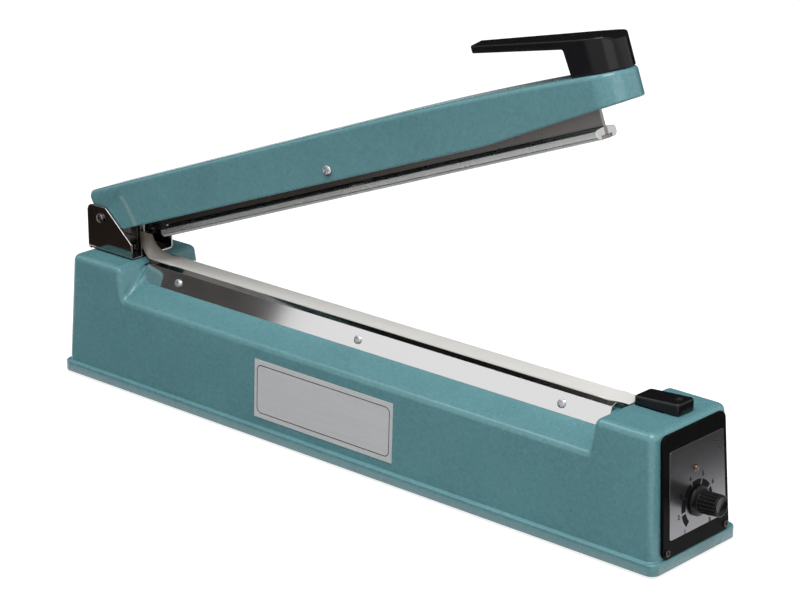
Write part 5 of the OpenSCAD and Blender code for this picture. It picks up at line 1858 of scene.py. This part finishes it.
@dataclass
class Studio:
    """Camera, lights, floor and the cards that the bright metal mirrors. Lengths here are in metres."""

    eye: Spot = (1.1000, -1.1952, 0.6680)
    azimuth: float = 42.014
    elevation: float = 19.122
    roll: float = 0.053
    lens: float = 117.686
    sensor: float = 36.0
    clip: Point = (0.01, 100.0)
    floor_size: float = 12.0
    floor_lift: float = 0.76
    card_z: float = 0.002
    ambient: float = 0.48
    key_power: float = 4.0
    key_at: Spot = (1.9, -0.45, 0.9)
    key_size: Point = (1.5, 0.5)
    top_power: float = 17.0
    top_at: Spot = (0.5, -0.45, 1.45)
    top_size: Point = (0.8, 0.8)
    edge_power: float = 3.2
    edge_at: Spot = (-0.9, -0.5, 1.6)
    edge_size: Point = (0.5, 0.5)
    aim: Spot = (0.0, 0.0, 0.12)

    def camera(self) -> None:
        """Put the camera where the photograph was taken from."""
        data = bpy.data.cameras.new("camera")
        data.lens, data.sensor_width, data.sensor_fit = self.lens, self.sensor, "HORIZONTAL"
        data.clip_start, data.clip_end = self.clip
        camera = bpy.data.objects.new("camera", data)
        a, e = math.radians(self.azimuth), math.radians(self.elevation)
        back = Vector((math.sin(a) * math.cos(e), -math.cos(a) * math.cos(e), math.sin(e)))
        right = Vector((math.cos(a), math.sin(a), 0))
        turn = Matrix((right, back.cross(right), back)).transposed().to_4x4()
        camera.matrix_world = (Matrix.Translation(self.eye) @ turn
                               @ Matrix.Rotation(math.radians(self.roll), 4, "Z"))
        bpy.context.scene.collection.objects.link(camera)
        bpy.context.scene.camera = camera

    def lamp(self, name: str, at: Spot, size: Point, power: float) -> None:
        """Hang one soft light, aimed at the object.

        Args:
            name: The light's name.
            at: Its place.
            size: Its length and width.
            power: Its power, watts.
        """
        data = bpy.data.lights.new(name, "AREA")
        data.shape, data.size, data.size_y, data.energy = "RECTANGLE", *size, power
        light = bpy.data.objects.new(name, data)
        light.location = at
        light.rotation_euler = (Vector(self.aim) - Vector(at)).to_track_quat("-Z", "Y").to_euler()
        bpy.context.scene.collection.objects.link(light)

    @staticmethod
    def seen_directly(sheet: NodeSheet) -> bpy.types.NodeSocket:
        """Return 1 for what the camera, a mirror or glass shows, and 0 for the light that falls on things.

        Args:
            sheet: The sheet of the material or the world.

        Returns:
            The value's socket.
        """
        path = sheet.add("ShaderNodeLightPath").outputs
        two = sheet.math("MAXIMUM", path["Is Camera Ray"], path["Is Glossy Ray"])
        return sheet.math("MAXIMUM", two, path["Is Transmission Ray"])

    def world(self) -> None:
        """Make the white surround and the even light that it gives."""
        world = bpy.data.worlds.new("white_room")
        world.use_nodes = True
        bpy.context.scene.world = world
        sheet = NodeSheet(world.node_tree)
        strength = sheet.spread(self.seen_directly(sheet), self.ambient, 1.0)
        background = world.node_tree.nodes["Background"]
        background.inputs["Color"].default_value = (1.0, 1.0, 1.0, 1.0)
        world.node_tree.links.new(strength, background.inputs["Strength"])

    def card(self, name: str, corners: Sequence[Spot], material: bpy.types.Material,
             mirrors_only: bool) -> None:
        """Put up one flat card of the studio.

        Args:
            name: Its name.
            corners: Its corners, in metres.
            material: Its material.
            mirrors_only: Whether only mirrored light sees it.
        """
        mesh = bpy.data.meshes.new(name)
        mesh.from_pydata(corners, [], [range(len(corners))])
        mesh.materials.append(material)
        card = bpy.data.objects.new(name, mesh)
        bpy.context.scene.collection.objects.link(card)
        if mirrors_only:
            card.visible_camera = card.visible_diffuse = card.visible_shadow = False

    def floor(self) -> None:
        """Lay the pale floor, which is white where nothing shades it."""
        box = Paintbox("floor")
        half = self.floor_size / 2
        cloud = box.cloud(2.0, 0.50, 0.54)
        box.set(Base_Color=cloud, Roughness=0.9, Specular_IOR_Level=0.1)
        lift = box.sheet.add("ShaderNodeEmission", {
            "Strength": box.sheet.math("MULTIPLY", self.seen_directly(box.sheet), self.floor_lift)})
        both = box.sheet.add("ShaderNodeAddShader", {0: box.shader.outputs[0], 1: lift.outputs[0]})
        output = box.material.node_tree.nodes["Material Output"]
        box.sheet.tree.links.new(both.outputs[0], output.inputs["Surface"])
        self.card("floor", [(-half, -half, 0), (half, -half, 0), (half, half, 0), (-half, half, 0)],
                  box.material, False)

    @staticmethod
    def card_paint(name: str, dark: Colour, light: Colour) -> bpy.types.Material:
        """Return the dull, uneven paint of a studio card.

        Args:
            name: The material's name.
            dark: Its darkest colour.
            light: Its lightest colour.

        Returns:
            The material.
        """
        box = Paintbox(name)
        cloud = box.cloud(30.0)
        box.set(Base_Color=box.sheet.mix(cloud, dark, light), Roughness=0.9, Specular_IOR_Level=0.0)
        return box.material

    def flags(self) -> None:
        """Put up the cards that bright metal and gloss mirror instead of the white room."""
        black = self.card_paint("black_card", (0.010, 0.009, 0.008), (0.014, 0.013, 0.012))
        brown = self.card_paint("brown_card", (0.022, 0.016, 0.013), (0.045, 0.034, 0.029))
        grey = self.card_paint("grey_card", (0.05, 0.045, 0.043), (0.24, 0.225, 0.22))
        pale = self.card_paint("pale_card", (0.06, 0.06, 0.06), (0.10, 0.10, 0.10))
        lying = {
            "flag_low": (brown, ((-0.62, -0.34), (-0.455, -0.34), (-0.43, -0.262), (-0.37, -0.235),
                                 (-0.37, -0.14), (-0.62, -0.14))),
            "flag_wall": (black, ((-0.369, -0.34), (0.28, -0.34), (0.28, -0.05), (-0.369, -0.05))),
            "flag_far": (pale, ((-2.2, -2.2), (0.13, -2.2), (-0.42, -0.341), (-2.2, -0.341))),
            "flag_panel": (black, ((0.34, -0.10), (1.8, -0.10), (1.8, 1.8), (0.34, 1.8))),
        }
        for name, (paint, corners) in lying.items():
            self.card(name, [(*corner, self.card_z) for corner in corners], paint, True)
        standing = {
            "flag_tall": (grey, (-1.4, -0.47), (-0.48, -0.47), 0.5),
            "flag_left": (black, (-1.8, 0.0), (-1.8, 1.3), 3.0),
            "flag_back": (black, (-1.8, 1.3), (0.6, 1.3), 2.6),
        }
        for name, (paint, foot, end, top) in standing.items():
            self.card(name, [(*foot, 0.0), (*end, 0.0), (*end, top), (*foot, top)], paint, True)

    def build(self) -> None:
        """Set the studio up."""
        self.camera()
        self.lamp("key", self.key_at, self.key_size, self.key_power)
        self.lamp("top", self.top_at, self.top_size, self.top_power)
        self.lamp("edge", self.edge_at, self.edge_size, self.edge_power)
        self.world()
        self.floor()
        self.flags()
        bpy.context.scene.view_settings.view_transform = "Standard"


def main() -> None:
    """Build the sealer's pieces and the studio round it."""
    logging.basicConfig(level=logging.INFO, format="%(message)s")
    for part in (Studio(), Housing(), RatingPlate(), ControlPanel(), Jaw(), Hinge(), PressArm(), PressBar(),
                 InnerWorks()):
        part.build()


if __name__ == "__main__":
    main()
